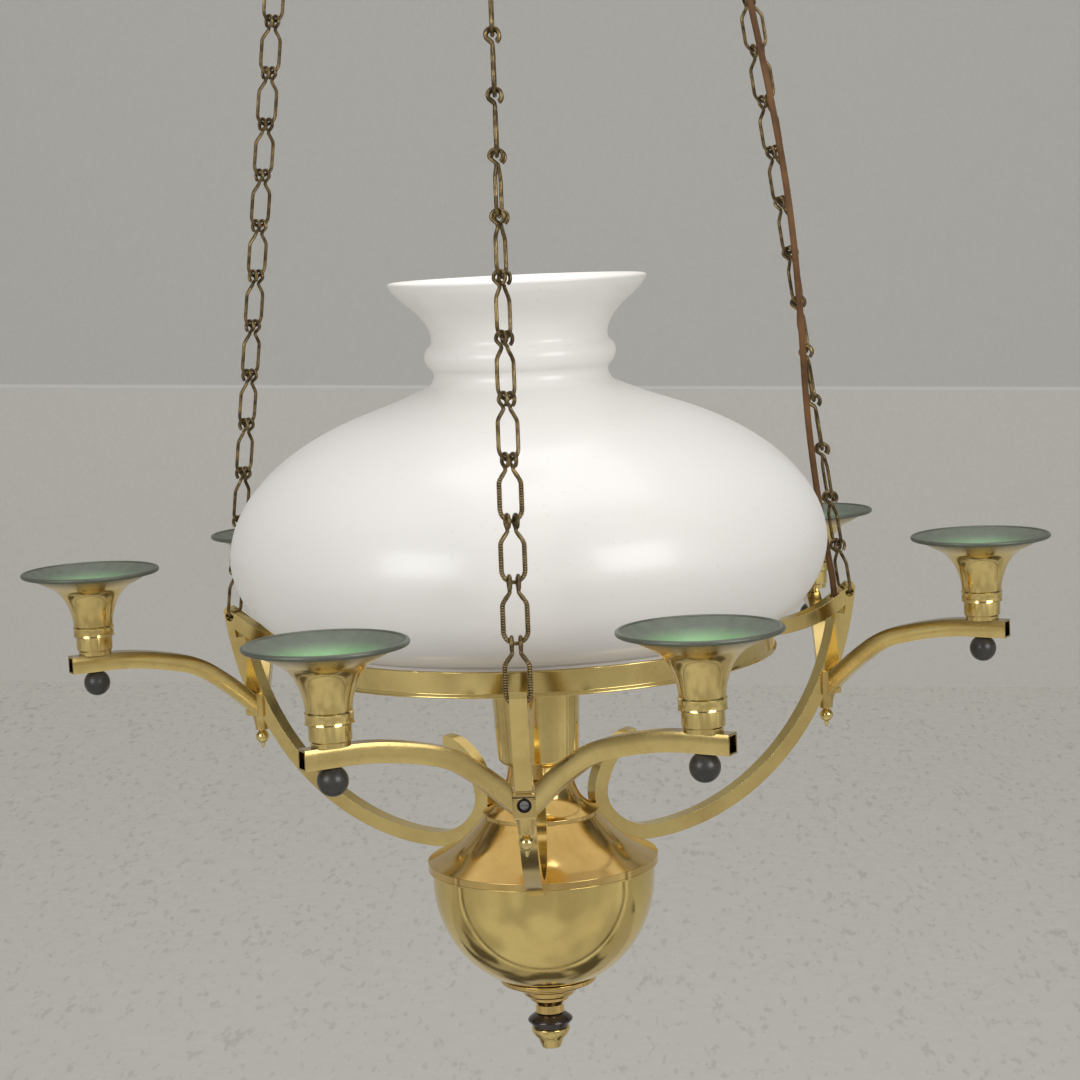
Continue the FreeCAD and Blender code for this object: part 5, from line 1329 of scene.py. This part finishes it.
@dataclass
class Arms:
    """Brackets, scrolls, candle arms and blocks: bar and tube with softened edges."""

    ease: float = 0.45 * MM
    block_ease: float = 0.27 * MM
    tube_ease: float = 0.36 * MM
    screw_ease: float = 0.3 * MM
    hollow_level: float = -49.75 * MM
    hollow_radius: float = 4.6 * MM
    hollow_edge: float = 0.1 * MM
    hollow_depth: float = 4.0 * MM
    block_front: float = 241.1 * MM
    head_share: float = 0.8
    cuts: int = 36

    def build(self) -> None:
        """Copies the bars' shapes and softens their edges."""
        for arm in Arm:
            for kind, finish in (("bracket", BRASS), ("scroll_arm", BRASS), ("arm_block", WORN_BRASS)):
                node = f"{kind}_{arm.label}"
                ease = self.block_ease if kind == "arm_block" else self.ease
                made = piece(f"{node}_bar", smoothed(copied(node)), finish, Body.LAMP,
                             [node], ease)
                if kind == "arm_block":
                    self.darken_hollow(made, arm)
        for cup in CUPS:
            node = f"candle_arm_{cup}"
            piece(f"{node}_tube", smoothed(self.edged(copied(node))), TUBE_BRASS, Body.LAMP,
                  [node], self.tube_ease)
        screws = copied("block_screws")
        for vertex in screws.vertices:
            arm = max(Arm, key=lambda arm: vertex.co.dot(arm.outward))
            axis = arm.spot(vertex.co.dot(arm.outward), 0.0, self.hollow_level)
            vertex.co = axis + (vertex.co - axis) * self.head_share
        piece("slotted_screws", smoothed(screws), DARK_STEEL, Body.LAMP, ["block_screws"],
              self.screw_ease)

    def edged(self, mesh: bpy.types.Mesh) -> bpy.types.Mesh:
        """Cuts a candle arm across its length and marks which points are on its upper edges.

        Args:
            mesh: The arm.

        Returns:
            The same mesh, with an attribute "edge" that is 1 above and -1 below.
        """
        work = bmesh.new()
        work.from_mesh(mesh)
        spread = [Vector((vertex.co.x, vertex.co.y, 0.0)) for vertex in work.verts]
        near = min(spread, key=lambda point: point.length)
        far = max(spread, key=lambda point: (point - near).length)
        along = (far - near).normalized()
        for share in steps(self.cuts)[:-1]:
            whole = work.verts[:] + work.edges[:] + work.faces[:]
            bmesh.ops.bisect_plane(work, geom=whole, dist=TOUCHING, plane_co=near.lerp(far, share),
                                   plane_no=along)
        work.normal_update()
        values = [math.copysign(1.0, vertex.normal.z) for vertex in work.verts]
        work.to_mesh(mesh)
        work.free()
        keep(mesh, "edge", values)
        return mesh

    def darken_hollow(self, block: bpy.types.Object, arm: Arm) -> None:
        """Gives the sunk hole in a block's front a dark wall and floor of painted shade.

        Args:
            block: The block.
            arm: Arm that it is on.
        """
        # Painted shade: faces down in the hole get the near-black hollow material.
        block.data.materials.append(HOLLOW_SHADE.material())
        for face in block.data.polygons:
            place = face.center - arm.spot(0.0, 0.0, self.hollow_level)
            out = place.dot(arm.outward)
            away = math.hypot(place.dot(arm.aside), place.z)
            if away < self.hollow_radius and out < self.block_front - self.hollow_edge:
                face.material_index = int(out > self.block_front - self.hollow_depth)


@dataclass
class Finials:
    """Small turned finials under the three blocks."""

    circle: float = 232.5 * MM
    top: float = -68.3 * MM
    ball: float = 4.75 * MM
    neck: float = 1.2 * MM
    point: float = 4.0 * MM

    def build(self, copies: RoundCopies) -> None:
        """Turns one finial and copies it.

        Args:
            copies: Tree that places the copies.
        """
        middle = -self.neck - self.ball * 0.9
        low = middle - self.ball
        path: list[Corner] = [
            (0.0, 0.0, None),
            (self.ball * 0.62, 0.0, None),
            (self.ball * 0.62, -self.neck * 0.4, -self.neck * 0.3),
            (self.ball * 0.436, -self.neck, None),
            (self.ball, middle, -self.ball),
            (self.ball * 0.436, middle - self.ball * 0.9, -self.ball),
            (self.ball * 0.3, low - self.point * 0.3, self.point),
            (self.ball * 0.2, low - self.point * 0.7, None),
            (0.0, low - self.point, -self.point * 0.4),
        ]
        one = smoothed(turned("small_finial", sampled(path), 32))
        mesh = copies.made("small_finials", one, BRASS, self.circle, LEVEL + self.top)
        piece("small_finials", mesh, BRASS, Body.LAMP, ["block_finials"])


@dataclass
class Cups:
    """Candle cups with banded necks and rolled rims, and the dark ball nuts below them."""

    circle: float = 310.4 * MM
    spread: float = 19.56
    foot: float = 0.5 * MM
    height: float = 57.0 * MM
    bore: float = 11.2 * MM
    wall: float = 1.1 * MM
    seat_rise: float = 2.6 * MM
    seat_step: float = 1.0 * MM
    band_radius: float = 14.1 * MM
    band_start: float = 12.4 * MM
    band_height: float = 7.2 * MM
    rim_radius: float = 45.8 * MM
    bead: float = 3.0 * MM
    stud_hole: float = 2.1 * MM
    flare_shares: tuple[Pair, ...] = ((0.03, 0.19), (0.1, 0.38), (0.22, 0.57), (0.47, 0.76), (1.0, 1.0))
    heading: float = 88.0
    ridge: float = 0.9 * MM
    groove: float = 0.35 * MM
    bead_sides: int = 14
    on_bead: float = 0.52
    ease: float = 0.2 * MM
    ball: float = 9.0 * MM
    ball_flat: float = 0.9 * MM
    ball_level: float = -19.6 * MM
    ball_bore: float = 0.33
    ball_step: float = 8.0
    ball_segments: int = 40
    segments: int = 96

    def shell(self) -> bpy.types.Mesh:
        """Turns one cup and marks its inside, rim and depth."""
        neck = self.bore + self.wall
        band_end = self.band_start + self.band_height
        root = neck + self.wall
        start: Corner = (root, band_end + self.wall, None)
        points = shares((root, start[1]), (self.rim_radius - root, self.height - start[1]),
                        self.flare_shares)
        ridge = self.ridge
        flare = flowing(start, points, self.heading)
        path: list[Corner] = [
            (self.stud_hole, 0.0, None),
            (neck - self.seat_step, 0.0, None),
            (neck - self.seat_step, self.seat_rise, None),
            (neck, self.seat_rise + self.seat_step, None),
            (neck, self.band_start, None),
            (self.band_radius, self.band_start + ridge * 0.6, -ridge),
            (self.band_radius - self.groove, self.band_start + ridge * 1.6, None),
            (self.band_radius - self.groove, band_end - ridge * 1.6, None),
            (self.band_radius, band_end - ridge * 0.6, None),
            (root, band_end + self.wall / 2, None),
            start,
        ] + flare
        inner_path = [(neck, self.band_start, None), (neck, band_end, None), start] + flare
        inner = sampled(shifted(inner_path, self.wall), FINE_ARC_STEP)
        floor = [(self.bore - self.seat_step, self.wall), (self.bore - self.seat_step, self.seat_rise),
                 (self.bore, self.seat_rise + self.seat_step + self.wall * 0.4)]
        lining = [(self.stud_hole, self.wall)] + floor + inner
        mesh = turned("one_cup", sampled(path, FINE_ARC_STEP) + list(reversed(lining)), self.segments)
        bead = [(self.rim_radius + x, self.height + y) for x, y in circle(self.bead / 2, self.bead_sides)]
        rim = turned("one_rim", bead, self.segments)
        whole = bmesh.new()
        whole.from_mesh(mesh)
        whole.from_mesh(rim)
        whole.to_mesh(mesh)
        whole.free()
        bpy.data.meshes.remove(rim)
        self.mark(mesh, inner)
        return mesh

    def mark(self, mesh: bpy.types.Mesh, lining: Sequence[Pair]) -> None:
        """Keeps on each point whether it is inside the cup or on its rim, and how deep.

        Args:
            mesh: The cup.
            lining: Points (radius, height) of its inner wall.
        """
        insides, rims, depths = [], [], []
        for vertex, on_lining in zip(mesh.vertices, on_outline(mesh, lining)):
            radius, height = math.hypot(*vertex.co.xy), vertex.co.z
            in_bore = radius < self.bore + 1e-5 and height > self.wall * 0.9
            insides.append(float(on_lining or in_bore))
            from_rim = math.hypot(radius - self.rim_radius, height - self.height)
            rims.append(float(from_rim < self.bead * self.on_bead))
            depths.append(max(0.0, min(1.0, 1.0 - height / self.height)))
        for name, values in (("inside", insides), ("rim", rims), ("depth", depths)):
            keep(mesh, name, values)

    def nut(self) -> bpy.types.Mesh:
        """Turns one ball nut with a flat top."""
        rise = self.ball - self.ball_flat
        flat = math.sqrt(self.ball * self.ball - rise * rise)
        path: list[Corner] = [
            (self.stud_hole, rise, None),
            (self.stud_hole, -self.ball * self.ball_bore, None),
            (0.0, -self.ball * self.ball_bore, None),
            (0.0, -self.ball, None),
            (self.ball, 0.0, self.ball),
            (flat, rise, self.ball),
        ]
        return smoothed(turned("ball_nut", sampled(path, math.radians(self.ball_step)), self.ball_segments))

    def build(self, copies: RoundCopies) -> None:
        """Makes the cups and the nuts.

        Args:
            copies: Tree that places the copies.
        """
        cups = copies.made("flared_cups", smoothed(self.shell()), CUP_BRASS, self.circle, LEVEL + self.foot,
                           self.spread)
        piece("flared_cups", cups, CUP_BRASS, Body.LAMP,
              [f"candle_cup_{cup}" for cup in CUPS], self.ease)
        nuts = copies.made("dark_ball_nuts", self.nut(), BLACK, self.circle, LEVEL + self.ball_level,
                           self.spread)
        piece("dark_ball_nuts", nuts, BLACK, Body.LAMP, ["ball_nuts"])
        dressed(STEEL, "cup_studs")


# bowl and socket


@dataclass
class BowlStack:
    """Socket cup, two shoulders, bowl, stepped base, dark ring and tip, turned from brass."""

    bore: float = 3.2 * MM
    socket_radius: float = 29.8 * MM
    socket_foot_radius: float = 27.2 * MM
    socket_top: float = 20.0 * MM
    socket_bottom: float = 75.5 * MM
    neck_radius: float = 20.5 * MM
    step_radius: float = 39.0 * MM
    step_drop: float = 110.5 * MM
    wall: float = 1.2 * MM
    flange_radius: float = 77.3 * MM
    flange_top: float = 139.3 * MM
    flange_bottom: float = 144.0 * MM
    bowl_radius: float = 74.5 * MM
    bowl_bottom: float = 222.0 * MM
    bowl_foot_radius: float = 31.9 * MM
    bowl_straight: float = 8.0 * MM
    base_radius: float = 32.6 * MM
    base_height: float = 25.5 * MM
    base_neck: float = 9.6 * MM
    dark_radius: float = 15.2 * MM
    dark_height: float = 10.0 * MM
    tip_radius: float = 13.1 * MM
    tip_height: float = 14.5 * MM
    upper_shares: tuple[Pair, ...] = ((0.26, 0.55), (1.0, 0.92))
    lower_shares: tuple[Pair, ...] = ((0.347, 0.518), (0.796, 0.894), (1.0, 1.0))
    bowl_shares: tuple[Pair, ...] = ((0.66, 0.66), (0.0, 1.0))
    base_shares: tuple[Pair, ...] = (
        (1.0, 0.1), (0.96, 0.14), (0.62, 0.17), (0.6, 0.26), (0.54, 0.3), (0.4, 0.34), (0.37, 0.44),
        (0.31, 0.5), (0.19, 0.54), (0.17, 0.62), (0.08, 0.69), (0.0, 0.78))
    socket_foot_share: float = 0.78
    socket_round_share: float = 0.2
    socket_wall: float = 1.0 * MM
    neck_heading: float = -84.0
    shoulder_heading: float = -54.0
    disc_shares: tuple[Pair, ...] = ((0.78, 0.2), (0.97, 0.42), (1.0, 0.54), (0.96, 0.64), (0.84, 0.84))
    tip_shares: tuple[Pair, ...] = ((0.98, 0.05), (0.98, 0.2), (0.9, 0.36), (0.74, 0.5), (0.6, 0.74))
    segments: int = 128

    def add(self, name: str, path: Sequence[Corner], finish: Finish, node: str, slot: str = "polished_brass",
            ease: float = 0.25 * MM) -> None:
        """Turns an outline and makes it a piece in place of a node.

        Args:
            name: Name of the piece.
            path: Closed outline.
            finish: Its surface.
            node: Node that it replaces.
            slot: Not used.
            ease: Width of its softened edges.
        """
        mesh = raised(turned(name, sampled(path, FINE_ARC_STEP), self.segments))
        piece(name, mesh, finish, Body.LAMP, [node], ease)

    def build(self) -> None:
        """Makes the stack from the top down."""
        floor = -self.socket_bottom
        foot: Corner = (self.socket_foot_radius * self.socket_foot_share, floor, None)
        side = (self.socket_foot_radius, floor + self.socket_foot_radius * self.socket_round_share)
        path = [(self.bore, floor, None), foot] + flowing(foot, [side], 0.0)
        path.append((self.socket_radius, -self.socket_top, None))
        self.add("holder_cup", walled(path, self.socket_wall), BRASS, "socket_cup")

        top: Corner = (self.neck_radius, floor, None)
        drop = self.step_drop - self.socket_bottom
        points = shares((self.neck_radius, floor), (self.step_radius - self.neck_radius, -drop),
                        self.upper_shares)
        path = [(self.bore, floor, None), top] + flowing(top, points, self.neck_heading)
        path.append((self.step_radius, -self.step_drop, None))
        self.add("waisted_neck", walled(path, -self.wall), GOLD_BRASS, "upper_shoulder")

        step: Corner = (self.step_radius, -self.step_drop, None)
        spread = self.flange_radius - self.step_radius
        drop = self.flange_top - self.step_drop
        points = shares((self.step_radius, -self.step_drop), (spread, -drop), self.lower_shares)
        path = [(self.bore, -self.step_drop, None), step] + flowing(step, points, self.shoulder_heading)
        path.append((self.flange_radius, -self.flange_bottom, None))
        self.add("bowl_shoulder", walled(path, -self.wall), GOLD_BRASS, "lower_shoulder")

        edge = -self.flange_bottom - self.wall
        lip: Corner = (self.bowl_radius, edge - self.bowl_straight, None)
        depth = self.bowl_bottom + edge - self.bowl_straight
        points = shares((self.bowl_foot_radius, lip[1]), (self.bowl_radius - self.bowl_foot_radius, -depth),
                        self.bowl_shares)
        path = [(self.flange_radius, edge, None), (self.bowl_radius, edge, None), lip]
        path += flowing(lip, points, -RIGHT_ANGLE) + [(self.bore, -self.bowl_bottom, None)]
        self.add("spun_bowl", walled(path, -self.wall), BOWL_BRASS, "bowl")

        bottom = self.bowl_bottom + self.base_height
        spread = self.base_radius - self.base_neck
        profile: list[Corner] = [(self.bore, -bottom, None), (self.base_neck, -bottom, None)]
        profile += [(x, y, None) for x, y in shares((self.base_neck, -self.bowl_bottom),
                                                    (spread, -self.base_height), reversed(self.base_shares))]
        profile += [(self.base_radius, -self.bowl_bottom, None), (self.bore, -self.bowl_bottom, None)]
        self.add("stepped_base", profile, GOLD_BRASS, "bowl_base", ease=0.35 * MM)

        low = bottom + self.dark_height
        half = self.dark_radius / 2
        rim = shares((0.0, -bottom), (self.dark_radius, -self.dark_height), reversed(self.disc_shares))
        profile = [(self.bore, -low, None), (self.dark_radius * 0.8, -low, None)]
        profile += [(x, y, None) for x, y in rim] + [(half, -bottom, None), (self.bore, -bottom, None)]
        self.add("dark_disc", profile, BROWN_BLACK, "finial_ring", "black_lacquer", 0.3 * MM)

        end = low + self.tip_height
        bore_end = -low - self.tip_height / 2
        side = shares((0.0, -low), (self.tip_radius, -self.tip_height), reversed(self.tip_shares))
        profile = [(0.0, -end, None), (self.tip_radius * 0.5, -end, None)]
        profile += [(x, y, None) for x, y in side]
        profile += [(self.tip_radius * 0.9, -low, None), (self.bore, -low, None), (self.bore, bore_end, None),
                    (0.0, bore_end, None)]
        self.add("end_tip", profile, BRASS, "finial_tip", ease=0.4 * MM)
        dressed(STEEL, "tie_rod")


@dataclass
class Bulb:
    """Porcelain holder and a frosted bulb."""

    def build(self) -> None:
        """Dresses the holder and smooths the bulb."""
        piece("frosted_bulb", smoothed(copied("bulb_glass", 0.0), BULB_SMOOTH_ANGLE), BULB_GLASS, Body.BULB,
              ["bulb_glass"])
        dressed(PORCELAIN, "lamp_holder")
        dressed(STEEL, "bulb_cap")


# crown, ceiling


@dataclass
class Crown:
    """Bell, plate, loop and eyes at the top of the chains, and the fittings on the ceiling."""

    def build(self) -> None:
        """Smooths the spun and bent parts and dresses the rest."""
        copies = (("crown_bell", "bell_cover", Body.LAMP, BRASS, 0.3),
                  ("crown_plate", "chain_plate", Body.LAMP, BRASS, 0.3),
                  ("crown_nut", "domed_nut", Body.LAMP, BRASS, 0.2),
                  ("crown_loop", "top_loop", Body.LAMP, BRASS, 0.2),
                  ("crown_eyes", "chain_eyes", Body.LAMP, WORN_BRASS, 0.0),
                  ("canopy", "ceiling_rose", Body.CEILING, BRASS, 0.3),
                  ("canopy_collar", "rose_collar", Body.CEILING, BRASS, 0.2),
                  ("ceiling_hook", "iron_hook", Body.CEILING, WORN_BRASS, 0.2),
                  ("suspension_ring", "hanging_ring", Body.SWING_RING, WORN_BRASS, 0.0),
                  ("ceiling_strap", "steel_strap", Body.CEILING, STEEL, 0.3))
        for node, name, body, finish, ease in copies:
            piece(name, smoothed(copied(node, 0.0), CROWN_SMOOTH_ANGLE), finish, body,
                  [node], ease * MM)
        dressed(STEEL, "crown_eye_nuts", "hook_nut")
        dressed(DARK_PLASTIC, "terminal_block", "canopy_bushing")


# camera and stage


@dataclass
class Studio:
    """Camera, soft light, floor and wall."""

    distance: float = 1.738
    azimuth: float = 272.268
    above: float = 0.2937
    pitch: float = 7.199
    yaw: float = -0.249
    roll: float = -2.585
    focal_pixels: float = 2643.3
    frame_pixels: float = 1080.0
    sensor: float = 36.0
    floor_level: float = -2.0
    room_edge: float = 0.04
    floor_edge: float = 0.55
    wall_place: float = 3.86
    wall_colour: Colour = (0.56, 0.55, 0.52)
    band_colour: Colour = (0.635, 0.617, 0.58)
    floor_colour: Colour = (0.53, 0.515, 0.475)
    stage_width: float = 9.0
    wall_top: float = 2.5
    stripe_colours: tuple[Colour, Colour] = ((0.09, 0.08, 0.07), (0.40, 0.385, 0.365))
    soft_colours: tuple[Colour, Colour] = ((0.44, 0.43, 0.41), (0.62, 0.61, 0.59))
    room_colours: tuple[Colour, Colour] = ((0.42, 0.41, 0.40), (0.66, 0.66, 0.66))
    dark_edge_colour: Colour = (0.08, 0.07, 0.06)
    pale_edge_colour: Colour = (0.9, 0.88, 0.84)
    overhead_colour: Colour = (0.05, 0.045, 0.04)
    backdrop_colour: Colour = (0.58, 0.575, 0.565)
    room_strength: float = 0.96

    def camera(self) -> None:
        """Stands the camera where the photograph was taken from."""
        turn = math.radians(self.azimuth)
        heading = math.radians(self.azimuth + HALF_TURN + self.yaw)
        dip = math.radians(self.pitch)
        ahead = Vector((math.cos(heading) * math.cos(dip), math.sin(heading) * math.cos(dip),
                        -math.sin(dip)))
        level_right = Vector((math.sin(heading), -math.cos(heading), 0.0))
        level_up = level_right.cross(ahead)
        roll = math.radians(self.roll)
        right = level_right * math.cos(roll) + level_up * math.sin(roll)
        up = level_up * math.cos(roll) - level_right * math.sin(roll)
        made = bpy.data.cameras.new("photo_camera")
        made.sensor_width = self.sensor
        made.sensor_fit = "HORIZONTAL"
        made.lens = self.focal_pixels / self.frame_pixels * self.sensor
        made.dof.use_dof = False
        camera = bpy.data.objects.new("photo_camera", made)
        bpy.context.scene.collection.objects.link(camera)
        place = Vector((self.distance * math.cos(turn), self.distance * math.sin(turn), LEVEL + self.above))
        camera.matrix_world = Matrix.Translation(place) @ Matrix((right, up, -ahead)).transposed().to_4x4()
        bpy.context.scene.camera = camera

    def levelled(self, corners: Iterable[tuple[float, float, float]]) -> list[Vector]:
        """Turns points round the line of sight, so that the backdrop is level in the picture."""
        pivot = Matrix.Translation((0.0, 0.0, LEVEL))
        turn = pivot @ Matrix.Rotation(-math.radians(self.roll), 4, "Y") @ pivot.inverted()
        return [turn @ Vector(corner) for corner in corners]

    def plane(self, name: str, corners: Sequence[tuple[float, float, float]], finish: Finish) -> None:
        """Makes a flat stage piece.

        Args:
            name: Its name.
            corners: Its four corners.
            finish: Its surface.
        """
        mesh = bpy.data.meshes.new(name)
        mesh.from_pydata(self.levelled(corners), [], [(0, 1, 2, 3)])
        mesh.materials.append(finish.material())
        made = bpy.data.objects.new(name, mesh)
        bpy.context.scene.collection.objects.link(made)

    def stage(self) -> None:
        """Makes the floor and the wall behind the lamp."""
        level, front, back = self.floor_level, self.floor_edge, self.wall_place
        wide, top = self.stage_width, self.wall_top
        self.plane("floor", ((-wide, front, level), (wide, front, level), (wide, wide, level),
                             (-wide, wide, level)), Ground("floor", self.floor_colour))
        self.plane("wall", ((-wide, back, level), (wide, back, level), (wide, back, top), (-wide, back, top)),
                   Plaster("wall", self.wall_colour, self.band_colour, lean=-math.radians(self.roll)))

    @staticmethod
    def lamp(name: str, place: Sequence[float], size: Pair, power: float, target: Sequence[float]) -> None:
        """Adds a soft box.

        Args:
            name: Its name.
            place: Where it stands.
            size: Its width and height.
            power: Its power in watts.
            target: Point that it faces.
        """
        light = bpy.data.lights.new(name, "AREA")
        light.shape = "RECTANGLE"
        light.size, light.size_y = size
        light.energy = power
        made = bpy.data.objects.new(name, light)
        bpy.context.scene.collection.objects.link(made)
        aim = Vector(target) - Vector(place)
        facing = aim.to_track_quat("-Z", "Y").to_matrix().to_4x4()
        made.matrix_world = Matrix.Translation(Vector(place)) @ facing

    def lights(self) -> None:
        """Adds the soft boxes and the room's even light."""
        middle = (0.0, 0.0, LEVEL)
        self.lamp("soft_box_left", (-1.9, -2.3, -0.2), (1.6, 1.3), 31.0, middle)
        self.lamp("soft_box_right", (1.9, -2.1, -0.3), (1.5, 1.3), 34.0, middle)
        self.lamp("soft_box_top", (0.3, 0.2, 1.6), (2.4, 2.0), 31.0, middle)
        world = bpy.data.worlds.new("studio")
        bpy.context.scene.world = world
        world.use_nodes = True
        world.node_tree.nodes.clear()
        board = Board(world.node_tree)
        ray = board.add("ShaderNodeLightPath")
        direction = board.out(board.add("ShaderNodeTexCoord"), "Generated")
        parts = board.add("ShaderNodeSeparateXYZ", None, {0: direction})
        height, depth = board.out(parts, "Z"), board.out(parts, "Y")
        upright = board.add("ShaderNodeMapping", None, {"Vector": direction, "Scale": (1.0, 1.0, 0.12)})
        stripes = board.ramp(board.noise(3.4, 1.0, 0.5, board.out(upright)), 0.40, 0.48)
        behind = board.mix(stripes, *self.stripe_colours)
        soft = board.ramp(board.noise(1.7, 1.0, 0.5, direction), 0.38, 0.55)
        ahead = board.mix(soft, *self.soft_colours)
        back_half = board.ramp(depth, self.room_edge, self.room_edge + 0.05)
        dark_edge = (board.maths("ABSOLUTE", depth - self.room_edge) * -40.0 + 1.4).clamped()
        pale_edge = (board.maths("ABSOLUTE", depth - self.room_edge - 0.07) * -50.0 + 1.5).clamped()
        overhead = board.ramp(height, 0.16, 0.3) - board.ramp(height, 0.55, 0.8)
        room = board.mix((height * 0.6 + 0.5).clamped(), *self.room_colours)
        around = board.mix(back_half, ahead, behind)
        around = board.mix(dark_edge, around, self.dark_edge_colour)
        around = board.mix(pale_edge * 0.85, around, self.pale_edge_colour)
        seen = board.mix(overhead.clamped() * 0.85, around, self.overhead_colour)
        glossy = board.out(ray, "Is Glossy Ray")
        colour = board.mix(glossy, room, seen)
        colour = board.mix(board.out(ray, "Is Camera Ray"), colour, self.backdrop_colour)
        back = board.add("ShaderNodeBackground", None, {"Color": colour, "Strength": self.room_strength})
        board.add("ShaderNodeOutputWorld", None, {"Surface": board.out(back)})

    def build(self) -> None:
        """Sets up the whole studio."""
        self.camera()
        self.stage()
        self.lights()
        bpy.context.scene.view_settings.view_transform = "Standard"


@dataclass(frozen=True)
class Ground(Finish):
    """Pale floor with small grey speckles, painted brighter towards the back as if more light falls there."""

    base: Colour = (0.56, 0.555, 0.545)

    def paint(self, board: Board) -> dict:
        """Speckles of two sizes, on a tone painted brighter further back."""
        fine = board.ramp(board.noise(55.0, 3.0, 0.7), 0.35, 0.62)
        dots = board.ramp(board.noise(82.0, 2.0, 0.6, board.stretched((1.0, 0.3, 1.0))), 0.58, 0.68)
        away = board.out(board.add("ShaderNodeSeparateXYZ", None, {0: board.place()}), "Y")
        # Painted light: the floor's colour grows brighter towards the back.
        far = board.ramp(away / 4.0, 0.3, 0.95)
        floor_with_painted_light = board.mix(far, self.base, tuple(part * 1.3 for part in self.base))
        tone = board.mix(fine * 0.3, floor_with_painted_light, tuple(part * 0.9 for part in self.base))
        return {"Base Color": board.mix(dots * 0.4, tone, tuple(part * 0.62 for part in self.base)),
                "Roughness": 0.6}


@dataclass(frozen=True)
class Plaster(Finish):
    """Wall that is grey above and paler below, with a pale line between."""

    upper: Colour = (0.36, 0.355, 0.345)
    lower: Colour = (0.46, 0.455, 0.445)
    border: float = -1.36
    line: float = 0.0035
    lean: float = 0.0
    shade: Colour = (0.30, 0.295, 0.29)
    line_colour: Colour = (0.68, 0.67, 0.65)

    def paint(self, board: Board) -> dict:
        """Two tones by height, and a fine weave."""
        parts = board.add("ShaderNodeSeparateXYZ", None, {0: board.place()})
        rise = (board.out(parts, "Z") - LEVEL) * math.cos(self.lean)
        height = rise + board.out(parts, "X") * math.sin(self.lean) + LEVEL
        below = board.maths("LESS_THAN", height, self.border)
        gap = board.maths("ABSOLUTE", height - self.border)
        line = board.maths("LESS_THAN", gap, self.line)
        weave = board.noise(160.0, 2.0, 0.6) * 0.25
        tone = board.mix(below, self.upper, self.lower)
        tone = board.mix(weave, tone, self.shade)
        return {"Base Color": board.mix(line * 0.7, tone, self.line_colour), "Roughness": 0.85}


def main() -> None:
    """Builds the lamp's looks and the studio round it."""
    logging.basicConfig(level=logging.INFO, format="%(name)s: %(message)s")
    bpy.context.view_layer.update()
    studio = Studio()
    studio.build()
    Leads().build()
    Chains().build()
    Shade().build()
    ShadeRing().build()
    Arms().build()
    copies = RoundCopies()
    Cups().build(copies)
    Finials().build(copies)
    BowlStack().build()
    Bulb().build()
    Crown().build()


if __name__ == "__main__":
    main()
